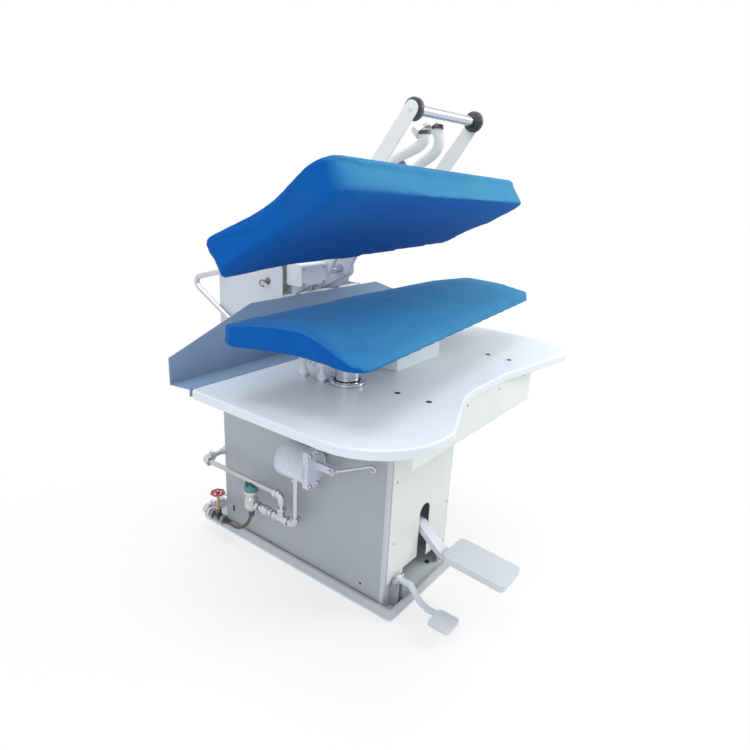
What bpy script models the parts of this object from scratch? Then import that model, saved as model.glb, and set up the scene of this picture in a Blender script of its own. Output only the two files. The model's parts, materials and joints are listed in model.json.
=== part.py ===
"""Utility laundry press with a foot pedal, a padded buck and a padded head that swings open.

Metres, +Z up. X runs to the machine's right, the operator stands at -Y, and the origin is
the centre of the underside of the base. The head is modelled closed, on a hinge empty that
then tips it back to its open rest pose.
"""
import math

import bmesh
import bpy
from mathutils import Matrix, Vector

for leftover in list(bpy.data.objects):
    bpy.data.objects.remove(leftover, do_unlink=True)

# Clearances and counts
GAP = 0.0003
RUNNING_GAP = 0.00004
OVERRUN = 0.004
SHEET = 0.003
ARC_STEPS = 6
ROUND_STEPS = 24
SHAFT_STEPS = 48
PIN_STEPS = 24

# Base tray
BASE_SIDE_MARGIN = 0.018
BASE_FRONT_MARGIN = 0.050
BASE_FLOOR = 0.006
RIM_HEIGHT = 0.040
RIM_WIDTH = 0.014
RIM_ROUND = 0.005
BASE_CORNER = 0.014

# Cabinet and column
CABINET_WIDTH = 0.396
CABINET_FRONT = -0.418
CABINET_REAR = 0.342
COLUMN_FRONT = 0.036
COLUMN_RIGHT_FRONT = 0.089
COLUMN_TOP = 1.080
COLUMN_CORNER = 0.030
TOP_COVER_FRONT = 0.135
POST_LEG = 0.048
POST_SIDE_LEG = 0.043
POST_ROUND = 0.010
POST_THICK = 0.004
FRONT_PANEL_WIDTH = 0.360
FRONT_PANEL_LOW_LEFT = 0.100
FRONT_PANEL_LOW_MID = 0.118
FRONT_PANEL_LOW_RIGHT = 0.092
FRONT_PANEL_STEP_X = -0.090
SLOT_CENTRE_X = 0.0245
SLOT_WIDTH = 0.063
SLOT_TOP = 0.312
SIDE_SLOT_SIZE = (0.010, 0.026)
SIDE_SLOT_PLACE = (0.300, 0.100)
SIDE_HOLE_RADIUS = 0.005
SIDE_HOLE_PLACE = (-0.327, 0.072)

# Work table, apron and trough
TABLE_TOP = 0.797
TABLE_THICK = 0.027
TABLE_REAR = -0.0585
TABLE_LEFT = -0.6255
TABLE_FRONT = -0.715
TABLE_WAIST = -0.607
TABLE_CORNERS = (
    (TABLE_LEFT, TABLE_REAR, 0.014), (TABLE_LEFT, TABLE_FRONT, 0.200),
    (-0.380, TABLE_FRONT, 0.080), (-0.130, TABLE_WAIST, 0.300), (0.120, TABLE_WAIST, 0.400),
    (0.505, -0.668, 0.060), (0.612, -0.545, 0.060), (0.604, TABLE_REAR, 0.014))
TABLE_ROUND = 0.006
FRAME_BAR = 0.030
FRAME_LENGTH = 1.000
FRAME_FRONT_Y = -0.520
FRAME_REAR_Y = -0.120
APRON_LEFT = -0.372
APRON_RIGHT = 0.350
APRON_FRONT = -0.600
APRON_DEPTH = 0.040
APRON_HEIGHT = 0.126
APRON_ROUND = 0.012
TROUGH_RIGHT = 0.600
TROUGH_REAR = 0.030
TROUGH_FALL = 0.008
TROUGH_RISE = 0.176
TROUGH_END_RISE = 0.066
TROUGH_SHOULDER_LEFT = -0.337
TROUGH_SHOULDER_RIGHT = 0.285
TROUGH_LIP = 0.022

# Buck, its pedestal and its duct
BUCK_BOTTOM = 0.9405
BUCK_FRONT = -0.575
BUCK_DEPTH = 0.415
BUCK_FRONT_EDGE = 0.012
BUCK_FRONT_EDGE_END = 0.034
BUCK_CROWN = 0.053
BUCK_CROWN_END = 0.026
BUCK_RIGHT_EDGE = 0.050
BUCK_CROWN_RIGHT = 0.440
BUCK_RIGHT = 0.585
BUCK_LEFT = -0.615
BUCK_SWEEP = 0.115
BUCK_CORNERS = (
    (BUCK_LEFT, -0.205, 0.020), (-0.546, -0.360, 0.300), (-0.570, BUCK_FRONT, 0.050),
    (BUCK_RIGHT, -0.462, 0.030), (BUCK_RIGHT, -0.2165, 0.030), (0.380, -0.160, 0.080),
    (-0.585, -0.148, 0.020))
PAD_WALL = 0.010
BUCK_PAD_SIDE = 0.030
CHEST_DROP = 0.002
CROWN_PEAK_SHARE = 0.55
CROWN_REAR_SHARE = 0.66
PEDESTAL_LEFT = -0.110
PEDESTAL_RIGHT = 0.133
PEDESTAL_FRONT = -0.360
PEDESTAL_REAR = -0.200
PEDESTAL_ROUND = 0.006
DUCT_PLACE = (-0.293, -0.317)
DUCT_RADIUS = 0.035
DUCT_COLLAR_RADIUS = 0.052
DUCT_COLLAR_HEIGHT = 0.012
DUCT_DROP = 0.075
UNION_PLACES = ((-0.330, -0.186), (-0.330, -0.256))
UNION_RADIUS = 0.015
UNION_WAIST = 0.007
UNION_SHARES = (0.10, 0.18, 0.26, 0.34, 0.44, 0.50)

# Head, modelled closed
HINGE_Y = 0.005
HINGE_Z = 1.047
HEAD_OPEN_ANGLE = math.radians(34.5)
HEAD_RIM = 0.992
HEAD_TOP = 1.078
HEAD_CORNERS = (
    (-0.628, -0.200, 0.020), (-0.535, -0.335, 0.160), (-0.560, -0.556, 0.060),
    (0.515, -0.498, 0.040), (0.402, -0.200, 0.050), (-0.585, -0.148, 0.020))
HEAD_CLEARANCE = 0.003
HEAD_PAD_WALL = 0.014
CHEST_STAND = 0.004
SHAFT_RADIUS = 0.014
SHAFT_LEFT = -0.105
SHAFT_RIGHT = 0.084
BEARING_X = 0.070
BEARING_WIDTH = 0.020
BEARING_RADIUS = 0.032
HOUSING_LEFT = -0.178
HOUSING_RIGHT = -0.061
HOUSING_FOOT_X = -0.125
HOUSING_DROP = 0.037
BEAM_FRONT = 0.040
BEAM_DEPTH = 0.019
BEAM_BOTTOM = 0.922
BEAM_TOP = 0.972
YOKE_X = 0.050
YOKE_WIDTH = 0.016
YOKE_FOOT_FRONT = -0.330
YOKE_FOOT_REAR = -0.185
YOKE_HEIGHT = 0.052
YOKE_RING = 0.030
YOKE_FOOT_END = -0.140
YOKE_SHOULDER = -0.095
YOKE_BEND = 0.020
TAIL_ANGLE = math.radians(-35.0)
TAIL_LINK_REACH = 0.090
TAIL_SPRING_REACH = 0.190
TAIL_PIN_RADIUS = 0.006
TAIL_DEPTH = 0.022

# Handle
HANDLE_Y = -0.587
HANDLE_RISE = 0.126
HANDLE_HALF = 0.168
HANDLE_RADIUS = 0.0135
COLLAR_RADIUS = 0.0285
COLLAR_WIDTH = 0.018
ARM_THICK = 0.006
ARM_ROOT_Y = -0.250
ARM_ROOT_WIDTH = 0.064
ARM_TIP_WIDTH = 0.040
ARM_FOOT = 0.050
ARM_BEND = 0.020

# Jumper hoses on the head
HOSE_RADIUS = 0.015
HOSE_LEFT_X = -0.048
HOSE_RIGHT_X = 0.032
HOSE_LEFT_KNOTS = ((-0.366, 0.000), (-0.367, 0.045), (-0.384, 0.083), (-0.415, 0.0995),
                   (-0.453, 0.0955), (-0.487, 0.0885), (-0.515, 0.0880), (-0.5275, 0.0975),
                   (-0.5230, 0.112))
HOSE_RIGHT_KNOTS = ((-0.380, 0.000), (-0.385, 0.035), (-0.405, 0.066), (-0.4395, 0.0755),
                    (-0.4776, 0.0735), (-0.508, 0.0795), (-0.525, 0.0968), (-0.5295, 0.119),
                    (-0.5250, 0.134))
CLAMP_RADIUS = 0.018
CLAMP_WIDTH = 0.012
CROSS_SHARE = 1.5
HOSE_STUB = 0.006

# Main pedal and its linkage
PEDAL_SHAFT_Y = -0.166
PEDAL_SHAFT_Z = 0.140
PEDAL_SHAFT_RADIUS = 0.011
PEDAL_REAR_ARM = 0.256
PEDAL_BOSS_RADIUS = 0.024
PEDAL_X = 0.024
PEDAL_ARM_WIDTH = 0.045
PEDAL_ARM_THICK = 0.020
PEDAL_LINE = ((-0.286, 0.196), (-0.375, 0.236), (-0.410, 0.230), (-0.503, 0.156), (-0.530, 0.156))
PEDAL_MEET = 0.040
PEDAL_PAD_REAR = -0.536
PEDAL_PAD_FRONT = -0.757
PEDAL_PAD_REAR_Z = 0.197
PEDAL_PAD_FRONT_Z = 0.181
PEDAL_PAD_WIDTH = 0.132
PEDAL_PAD_SKIRT = 0.024
PEDAL_BEARING_X = 0.120
PEDAL_BEARING_WIDTH = 0.020
LINK_RADIUS = 0.0065
LINK_EYE_RADIUS = 0.017
LINK_EYE_WIDTH = 0.014
LINK_PIN_RADIUS = 0.006
LINK_PLAY = 0.0022

# Small pedal
SMALL_X = -0.136
SMALL_PIVOT_Y = -0.436
SMALL_PIVOT_Z = 0.108
SMALL_PIN_RADIUS = 0.005
SMALL_ARM_WIDTH = 0.020
SMALL_ARM_THICK = 0.010
SMALL_LINE = ((-0.482, 0.111), (-0.503, 0.089), (-0.524, 0.065), (-0.556, 0.052))
SMALL_TAIL = ((-0.429, 0.084), (-0.374, 0.077))
SMALL_PAD_REAR = -0.586
SMALL_PAD_FRONT = -0.661
SMALL_PAD_Z = 0.053
SMALL_PAD_WIDTH = 0.077
SMALL_PAD_SHIFT = -0.018
SMALL_PAD_THICK = 0.012
SMALL_BOSS_RADIUS = 0.013
SMALL_CHEEK = 0.006
SMALL_CHEEK_DEPTH = 0.024

# Side valve, pipes and trap
PIPE_RADIUS = 0.0090
FITTING_RADIUS = 0.0135
VALVE_RADIUS = 0.058
VALVE_STAND = 0.002
VALVE_FRONT = -0.168
VALVE_REAR = -0.046
VALVE_Z = 0.462
VALVE_FLANGE_HALF = 0.026
VALVE_FLANGE_HEIGHT = 0.064
VALVE_FLANGE_SHIFT = -0.023
VALVE_FLANGE_RISE = 0.011
VALVE_FLANGE_DEPTH = 0.018
VALVE_FLANGE_ROUND = 0.006
LEVER_SHIFT = -0.008
EAR_THICK = 0.004
EAR_INNER = 0.006
EAR_HEIGHT = 0.024
VALVE_PIN_RADIUS = 0.004
VALVE_BOSS_RADIUS = 0.010
VALVE_LEVER_RADIUS = 0.0045
VALVE_HOOK_STEPS = ((0, 0, 0), (0, -0.010, -0.002), (0, -0.014, -0.010), (0, -0.008, -0.017),
                    (0, 0.002, -0.014))
VALVE_PIVOT_Y = -0.250
VALVE_PIVOT_Z = 0.487
VALVE_LEVER_KNEE = (-0.274, 0.493)
VALVE_LEVER_BEND = 0.020
VALVE_LEVER_END = (-0.221, -0.366, 0.525)
RISER_Y = -0.088
CHAIN_Z = 0.220
SUPPLY_Z = 0.306
SUPPLY_FRONT_Y = -0.022
SUPPLY_REAR_Y = 0.388
SUPPLY_INLET_X = -0.150
BEND_RADIUS = 0.018
TEE_HALF = 0.028
TEE_BRANCH_RADIUS = 0.013
NUT_RADIUS = 0.0165
CHAIN_SHARES = (
    (0.0, FITTING_RADIUS), (0.36, FITTING_RADIUS), (0.36, PIPE_RADIUS), (0.46, PIPE_RADIUS),
    (0.46, FITTING_RADIUS), (0.58, FITTING_RADIUS), (0.58, NUT_RADIUS), (0.73, NUT_RADIUS),
    (0.73, FITTING_RADIUS), (0.85, FITTING_RADIUS), (0.85, PIPE_RADIUS), (1.0, PIPE_RADIUS))
TRAP_Y = 0.130
TRAP_RADIUS = 0.024
TRAP_BOTTOM = 0.192
TRAP_TOP = 0.272
TRAP_CAP_TOP = 0.296
TRAP_SHARES = ((0.55, 0.0), (1.0, 0.2), (1.0, 0.6), (0.8, 0.7), (0.8, 0.85), (1.1, 0.87), (1.1, 1.0))
STOP_Y = 0.318
STOP_Z = 0.084
STOP_RADIUS = 0.017
STOP_LENGTH = 0.074
STOP_SHARES = ((-1.0, 0.8), (-0.62, 0.8), (-0.62, 0.62), (-0.42, 0.62), (-0.30, 1.0), (0.30, 1.0),
               (0.42, 0.62), (0.62, 0.62), (0.62, 0.8), (1.0, 0.8))
BONNET_TOP = 0.122
STEM_RADIUS = 0.005
WHEEL_Z = 0.190
WHEEL_RADIUS = 0.027
WHEEL_TUBE = 0.005
DRAIN_RADIUS = 0.006
DRAIN_KNOTS = ((0.003, 0.134, 0.160), (0.006, 0.152, 0.124), (0.008, 0.190, 0.094),
               (0.004, 0.235, 0.084))

# Guard tubes beside the column
GUARD_RADIUS = 0.0095
GUARD_LOW = (0.262, 0.850)
GUARD_BACK = (0.491, 0.970)
GUARD_HIGH = (0.300, 1.022)
GUARD_BEND = 0.022

# Springs inside the column
SPRING_WIRE = 0.0022
SPRING_RADIUS = 0.014
SPRING_X = 0.024
SPRING_BOTTOM = 0.760
SPRING_TURNS = 12
SPRING_STEPS = 10
ANCHOR_BAR = 0.020


def material(name, colour, roughness, metallic=0.0):
    """A Principled material with one colour."""
    made = bpy.data.materials.new(name)
    made.use_nodes = True
    shader = made.node_tree.nodes["Principled BSDF"]
    shader.inputs["Base Color"].default_value = (*colour, 1.0)
    shader.inputs["Roughness"].default_value = roughness
    shader.inputs["Metallic"].default_value = metallic
    return made


CABINET_GREY = material("cabinet_grey", (0.45, 0.47, 0.50), 0.45)
CREAM_WHITE = material("cream_white", (0.72, 0.74, 0.69), 0.42)
TABLE_WHITE = material("table_white", (0.68, 0.73, 0.80), 0.38)
TROUGH_BLUE = material("trough_blue", (0.14, 0.23, 0.37), 0.45)
PEDAL_GREY = material("pedal_grey", (0.58, 0.60, 0.66), 0.40)
COVER_BLUE = material("cover_blue", (0.02, 0.12, 0.42), 0.90)
CAST_ALUMINIUM = material("cast_aluminium", (0.55, 0.56, 0.58), 0.45, 0.8)
BRIGHT_STEEL = material("bright_steel", (0.62, 0.63, 0.66), 0.30, 1.0)
CHROME = material("chrome", (0.80, 0.81, 0.84), 0.10, 1.0)
BLACK_RUBBER = material("black_rubber", (0.02, 0.02, 0.03), 0.60)
WHITE_HOSE = material("white_hose", (0.76, 0.77, 0.78), 0.55)
BRASS = material("brass", (0.55, 0.40, 0.18), 0.35, 1.0)
RED_PAINT = material("red_paint", (0.48, 0.05, 0.04), 0.45)
TEAL_PAINT = material("teal_paint", (0.05, 0.32, 0.34), 0.45)
DARK_IRON = material("dark_iron", (0.05, 0.05, 0.06), 0.55, 0.5)
BROWN_HOSE = material("brown_hose", (0.16, 0.11, 0.08), 0.60)


def finish(name, bm, look, sharp_angle=35.0):
    """Turn a bmesh into a named object with outward faces and smooth round parts."""
    bmesh.ops.recalc_face_normals(bm, faces=bm.faces)
    mesh = bpy.data.meshes.new(name)
    bm.to_mesh(mesh)
    bm.free()
    mesh.materials.append(look)
    mesh.shade_smooth()
    mesh.set_sharp_from_angle(angle=math.radians(sharp_angle))
    made = bpy.data.objects.new(name, mesh)
    bpy.context.scene.collection.objects.link(made)
    return made


def rounded(corners, steps=ARC_STEPS):
    """A closed outline from (x, y, radius) corners, with each corner as an arc."""
    outline = []
    count = len(corners)
    for index, (x, y, radius) in enumerate(corners):
        corner = Vector((x, y))
        before = Vector(corners[index - 1][:2]) - corner
        after = Vector(corners[(index + 1) % count][:2]) - corner
        if radius <= 0.0:
            outline.append(corner)
            continue
        before.normalize()
        after.normalize()
        half = before.angle(after) / 2
        reach = radius / math.tan(half)
        centre = corner + (before + after).normalized() * (radius / math.sin(half))
        start = corner + before * reach - centre
        sweep = start.angle_signed(corner + after * reach - centre)
        for step in range(steps + 1):
            turn = -sweep * step / steps
            outline.append(centre + Matrix.Rotation(turn, 2) @ start)
    return outline


def prism(name, outline, axis, low, high, look, sharp_angle=35.0):
    """Extrude an outline along X, Y or Z; its two coordinates are the other axes in order."""
    place = {
        "X": lambda a, b, along: (along, a, b),
        "Y": lambda a, b, along: (a, along, b),
        "Z": lambda a, b, along: (a, b, along),
    }[axis]
    bm = bmesh.new()
    first = [bm.verts.new(place(a, b, low)) for a, b in outline]
    last = [bm.verts.new(place(a, b, high)) for a, b in outline]
    bm.faces.new(first)
    bm.faces.new(last)
    count = len(outline)
    for index in range(count):
        after = (index + 1) % count
        bm.faces.new((first[index], first[after], last[after], last[index]))
    return finish(name, bm, look, sharp_angle)


def box(name, low, high, look):
    """A block between two corners."""
    outline = [(low[0], low[1]), (high[0], low[1]), (high[0], high[1]), (low[0], high[1])]
    return prism(name, outline, "Z", low[2], high[2], look)


def turned(name, profile, centre, axis, look, steps=ROUND_STEPS, sharp_angle=35.0):
    """Spin (radius, along) points about an axis through centre; both ends lie on the axis."""
    turn = {
        "X": Matrix.Rotation(math.pi / 2, 4, "Y"),
        "Y": Matrix.Rotation(-math.pi / 2, 4, "X"),
        "Z": Matrix.Identity(4),
    }[axis]
    bm = bmesh.new()
    rings = []
    for radius, along in profile:
        if radius <= 0.0:
            rings.append([bm.verts.new((0.0, 0.0, along))])
            continue
        ring = []
        for step in range(steps):
            angle = 2 * math.pi * step / steps
            ring.append(bm.verts.new((radius * math.cos(angle), radius * math.sin(angle), along)))
        rings.append(ring)
    for lower, upper in zip(rings, rings[1:]):
        for step in range(steps):
            after = (step + 1) % steps
            if len(lower) == 1:
                bm.faces.new((lower[0], upper[step], upper[after]))
            elif len(upper) == 1:
                bm.faces.new((lower[step], lower[after], upper[0]))
            else:
                bm.faces.new((lower[step], lower[after], upper[after], upper[step]))
    bm.transform(Matrix.Translation(centre) @ turn)
    return finish(name, bm, look, sharp_angle)


def rod(name, centre, axis, radius, low, high, look, steps=ROUND_STEPS):
    """A plain round bar along an axis, from low to high measured from centre."""
    return turned(name, [(0, low), (radius, low), (radius, high), (0, high)], centre, axis, look, steps)


def guide(shape):
    """Mark a shape as a cutter or a joined piece that isn't a node itself."""
    shape.hide_render = True
    shape.display_type = "WIRE"
    return shape


def combine(target, operation, *others):
    """Boolean each other shape into the target."""
    for other in others:
        modifier = target.modifiers.new(other.name, "BOOLEAN")
        modifier.operation = operation
        modifier.solver = "EXACT"
        modifier.object = guide(other)
    return target


def join(target, *others):
    """Weld other shapes onto the target."""
    return combine(target, "UNION", *others)


def cut(target, *others):
    """Take other shapes out of the target."""
    return combine(target, "DIFFERENCE", *others)


def keep_inside(target, *others):
    """Keep only what lies inside the other shapes too."""
    return combine(target, "INTERSECT", *others)


def soften(target, width, segments=2, angle=40.0):
    """Round the sharp edges of a shape."""
    modifier = target.modifiers.new("soften", "BEVEL")
    modifier.width = width
    modifier.segments = segments
    modifier.limit_method = "ANGLE"
    modifier.angle_limit = math.radians(angle)
    modifier.harden_normals = False
    return target


def filleted(points, radius, steps=ARC_STEPS):
    """A 3-D path whose inner corners are arcs."""
    path = [Vector(points[0])]
    for before, corner, after in zip(points, points[1:], points[2:]):
        corner = Vector(corner)
        into = (Vector(before) - corner).normalized()
        out = (Vector(after) - corner).normalized()
        half = into.angle(out) / 2
        reach = radius / math.tan(half)
        centre = corner + (into + out).normalized() * (radius / math.sin(half))
        start = corner + into * reach - centre
        sweep = math.pi - 2 * half
        normal = start.cross(corner + out * reach - centre).normalized()
        for step in range(steps + 1):
            path.append(centre + Matrix.Rotation(sweep * step / steps, 3, normal) @ start)
    path.append(Vector(points[-1]))
    return path


def smooth_path(points, per_span=6):
    """A Catmull-Rom curve through the points."""
    ends = [Vector(points[0]) * 2 - Vector(points[1])]
    ends += [Vector(point) for point in points]
    ends += [Vector(points[-1]) * 2 - Vector(points[-2])]
    path = []
    for a, b, c, d in zip(ends, ends[1:], ends[2:], ends[3:]):
        for step in range(per_span):
            t = step / per_span
            path.append(0.5 * (2 * b + (c - a) * t + (2 * a - 5 * b + 4 * c - d) * t * t
                               + (3 * b - a - 3 * c + d) * t ** 3))
    path.append(Vector(points[-1]))
    return path


def strap(points, thickness):
    """The outline of a flat bar bent along a line of (y, z) points."""
    line = [Vector(point) for point in points]
    upper = []
    lower = []
    for index, point in enumerate(line):
        ahead = line[min(index + 1, len(line) - 1)] - line[max(index - 1, 0)]
        into = (point - line[max(index - 1, 0)]) if index else ahead
        normal = Vector((-ahead.y, ahead.x)).normalized()
        bend = max(0.6, abs(into.normalized().dot(ahead.normalized()))) if into.length else 1.0
        upper.append(point + normal * thickness / 2 / bend)
        lower.append(point - normal * thickness / 2 / bend)
    return upper + lower[::-1]


def hinge_empty(name, place, angle=0.0):
    """An empty on a joint's axis, turned about X."""
    made = bpy.data.objects.new(name, None)
    bpy.context.scene.collection.objects.link(made)
    made.location = place
    made.rotation_euler = (angle, 0.0, 0.0)
    return made


def hang_on(empty, *shapes):
    """Parent shapes built in closed world places to an empty on their axis."""
    for shape in shapes:
        shape.parent = empty
        shape.matrix_parent_inverse = Matrix.Translation(-empty.location)


# Base tray
half_base = CABINET_WIDTH / 2 + BASE_SIDE_MARGIN
half_depth = BASE_FRONT_MARGIN - CABINET_FRONT
inner_half = half_base - RIM_WIDTH
inner_depth = half_depth - RIM_WIDTH
tray_outline = rounded([(x * half_base, y * half_depth, BASE_CORNER)
                        for x, y in ((-1, -1), (1, -1), (1, 1), (-1, 1))], 4)
base_tray = prism("base_tray", tray_outline, "Z", 0, RIM_HEIGHT, PEDAL_GREY)
well = box("base_well", (-inner_half, -inner_depth, BASE_FLOOR),
           (inner_half, inner_depth, RIM_HEIGHT + OVERRUN), PEDAL_GREY)
cut(base_tray, well)
soften(base_tray, RIM_ROUND, 2)

# Side panels, which rise behind the trough as the column's sides
half_cabinet = CABINET_WIDTH / 2
panel_foot = BASE_FLOOR + GAP
table_under = TABLE_TOP - TABLE_THICK
frame_bottom = table_under - GAP - FRAME_BAR
cabinet_top = frame_bottom - GAP
panel_front = CABINET_FRONT + POST_ROUND + 2 * GAP
column_shoulder = BEAM_TOP + SHEET
side_foot = [(panel_front, panel_foot, 0), (CABINET_REAR, panel_foot, 0),
             (CABINET_REAR, COLUMN_TOP, COLUMN_CORNER)]
side_front = [(COLUMN_FRONT, cabinet_top, 0), (panel_front, cabinet_top, 0)]
left_outline = rounded(side_foot + [(COLUMN_FRONT, COLUMN_TOP, COLUMN_CORNER)] + side_front)
right_outline = rounded(side_foot + [
    (COLUMN_RIGHT_FRONT, COLUMN_TOP, COLUMN_CORNER), (COLUMN_RIGHT_FRONT, column_shoulder, 0),
    (COLUMN_FRONT, column_shoulder, 0)] + side_front)
side_panel_left = prism("side_panel_left", left_outline, "X",
                        -half_cabinet, -half_cabinet + SHEET, CABINET_GREY)
side_panel_right = prism("side_panel_right", right_outline, "X",
                         half_cabinet - SHEET, half_cabinet, CABINET_GREY)
slot_half = (SIDE_SLOT_SIZE[0] / 2, SIDE_SLOT_SIZE[1] / 2)
side_slot = box("side_slot",
                (-half_cabinet - OVERRUN, SIDE_SLOT_PLACE[0] - slot_half[0],
                 SIDE_SLOT_PLACE[1] - slot_half[1]),
                (-half_cabinet + SHEET + OVERRUN, SIDE_SLOT_PLACE[0] + slot_half[0],
                 SIDE_SLOT_PLACE[1] + slot_half[1]), CABINET_GREY)
side_hole = rod("side_hole", (-half_cabinet, *SIDE_HOLE_PLACE), "X", SIDE_HOLE_RADIUS,
                -OVERRUN, SHEET + OVERRUN, CABINET_GREY, 12)
cut(side_panel_left, side_slot, side_hole)


def corner_post(name, side):
    """The rounded angle at a front corner, which the side and front panels screw to."""
    outer = side * half_cabinet
    inner = side * (half_cabinet - SHEET - GAP)
    section = [
        (outer, CABINET_FRONT, POST_ROUND),
        (outer - side * POST_LEG, CABINET_FRONT, 0),
        (outer - side * POST_LEG, CABINET_FRONT + POST_THICK, 0),
        (inner - side * POST_THICK, CABINET_FRONT + POST_THICK, 0),
        (inner - side * POST_THICK, CABINET_FRONT + POST_SIDE_LEG, 0),
        (inner, CABINET_FRONT + POST_SIDE_LEG, 0),
        (inner, panel_front - GAP, 0),
        (outer, panel_front - GAP, 0)]
    return prism(name, rounded(section), "Z", panel_foot, cabinet_top, CABINET_GREY)


corner_post("corner_post_left", -1)
corner_post("corner_post_right", 1)

# Front panel with the pedal slot
half_front = FRONT_PANEL_WIDTH / 2
slot_left = SLOT_CENTRE_X - SLOT_WIDTH / 2
slot_right = SLOT_CENTRE_X + SLOT_WIDTH / 2
front_outline = rounded([
    (-half_front, FRONT_PANEL_LOW_LEFT, 0), (FRONT_PANEL_STEP_X, FRONT_PANEL_LOW_LEFT, 0),
    (FRONT_PANEL_STEP_X, FRONT_PANEL_LOW_MID, 0), (slot_left, FRONT_PANEL_LOW_MID, 0),
    (slot_left, SLOT_TOP, SLOT_WIDTH / 2 - GAP), (slot_right, SLOT_TOP, SLOT_WIDTH / 2 - GAP),
    (slot_right, FRONT_PANEL_LOW_RIGHT, 0), (half_front, FRONT_PANEL_LOW_RIGHT, 0),
    (half_front, cabinet_top, 0), (-half_front, cabinet_top, 0)])
front_panel = prism("front_panel", front_outline, "Y", CABINET_FRONT - GAP - SHEET,
                    CABINET_FRONT - GAP, CREAM_WHITE)

# Rear panel and the column's top cover, both between the side panels
inside_half = half_cabinet - SHEET - GAP
rear_panel = box("rear_panel", (-inside_half, CABINET_REAR - SHEET, panel_foot),
                 (inside_half, CABINET_REAR, COLUMN_TOP - COLUMN_CORNER), CREAM_WHITE)
cover_top = COLUMN_TOP - COLUMN_CORNER / 3
column_top_cover = box("column_top_cover",
                       (-inside_half, TOP_COVER_FRONT, cover_top - SHEET),
                       (inside_half, CABINET_REAR - COLUMN_CORNER, cover_top), CREAM_WHITE)

# Table frame: two long bars and two short ones over the side panels
bar_half = FRAME_BAR / 2
frame_half = FRAME_LENGTH / 2
table_frame = box("table_frame", (-frame_half, FRAME_FRONT_Y - bar_half, frame_bottom),
                  (frame_half, FRAME_FRONT_Y + bar_half, frame_bottom + FRAME_BAR), DARK_IRON)
rear_bar = box("frame_rear_bar", (-frame_half, FRAME_REAR_Y - bar_half, frame_bottom),
               (frame_half, FRAME_REAR_Y + bar_half, frame_bottom + FRAME_BAR), DARK_IRON)
side_bars = []
for side in (-1, 1):
    middle = side * (half_cabinet - bar_half)
    side_bars.append(box("frame_side_bar", (middle - bar_half, FRAME_FRONT_Y, frame_bottom),
                         (middle + bar_half, FRAME_REAR_Y, frame_bottom + FRAME_BAR), DARK_IRON))
join(table_frame, rear_bar, *side_bars)

# Work table
work_table = prism("work_table", rounded(TABLE_CORNERS, 8), "Z", table_under, TABLE_TOP, TABLE_WHITE)
soften(work_table, TABLE_ROUND, 2)

# Front apron, a closed bar under the front of the table
apron_top = table_under - GAP
apron_section = rounded([
    (APRON_FRONT, apron_top - APRON_HEIGHT, APRON_ROUND),
    (APRON_FRONT + APRON_DEPTH, apron_top - APRON_HEIGHT, APRON_ROUND),
    (APRON_FRONT + APRON_DEPTH, apron_top, 0), (APRON_FRONT, apron_top, 0)])
front_apron = prism("front_apron", apron_section, "X", APRON_LEFT, APRON_RIGHT, CREAM_WHITE)
soften(front_apron, SHEET, 2)

# Trough: a lip behind the table, a falling floor and a tall back with cut shoulders
lip_front = TABLE_REAR + GAP
floor_rear_z = TABLE_TOP - TROUGH_FALL
trough_top = TABLE_TOP + TROUGH_RISE
end_top = TABLE_TOP + TROUGH_END_RISE
trough_section = [
    (lip_front, TABLE_TOP - TROUGH_LIP), (lip_front + SHEET, TABLE_TOP - TROUGH_LIP),
    (lip_front + SHEET, TABLE_TOP - SHEET), (TROUGH_REAR, floor_rear_z - SHEET),
    (TROUGH_REAR, trough_top), (TROUGH_REAR - SHEET, trough_top),
    (TROUGH_REAR - SHEET, floor_rear_z), (lip_front, TABLE_TOP)]
laundry_trough = prism("laundry_trough", trough_section, "X", TABLE_LEFT, TROUGH_RIGHT, TROUGH_BLUE)
for name, end, shoulder in (("shoulder_left", TABLE_LEFT, TROUGH_SHOULDER_LEFT),
                            ("shoulder_right", TROUGH_RIGHT, TROUGH_SHOULDER_RIGHT)):
    outward = math.copysign(OVERRUN, end)
    wedge = [(end + outward, end_top), (end, end_top), (shoulder, trough_top),
             (shoulder, trough_top + OVERRUN), (end + outward, trough_top + OVERRUN)]
    cut(laundry_trough, prism(name, wedge, "Y", TROUGH_REAR - SHEET - OVERRUN,
                              TROUGH_REAR + OVERRUN, TROUGH_BLUE))


def bore(radius, steps=ROUND_STEPS, clearance=GAP):
    """The radius of a faceted hole that clears a faceted bar of the given radius."""
    return (radius + clearance) / math.cos(math.pi / steps)


def inset_corners(corners, distance):
    """Move an outline's corners inward, which run anticlockwise seen from above."""
    moved = []
    count = len(corners)
    for index, (x, y, radius) in enumerate(corners):
        into = (Vector((x, y)) - Vector(corners[index - 1][:2])).normalized()
        out = (Vector(corners[(index + 1) % count][:2]) - Vector((x, y))).normalized()
        first = Vector((-into.y, into.x))
        second = Vector((-out.y, out.x))
        shift = (first + second) * distance / (1 + first.dot(second))
        moved.append((x + shift.x, y + shift.y, max(radius - distance, distance / 2)))
    return moved


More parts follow.
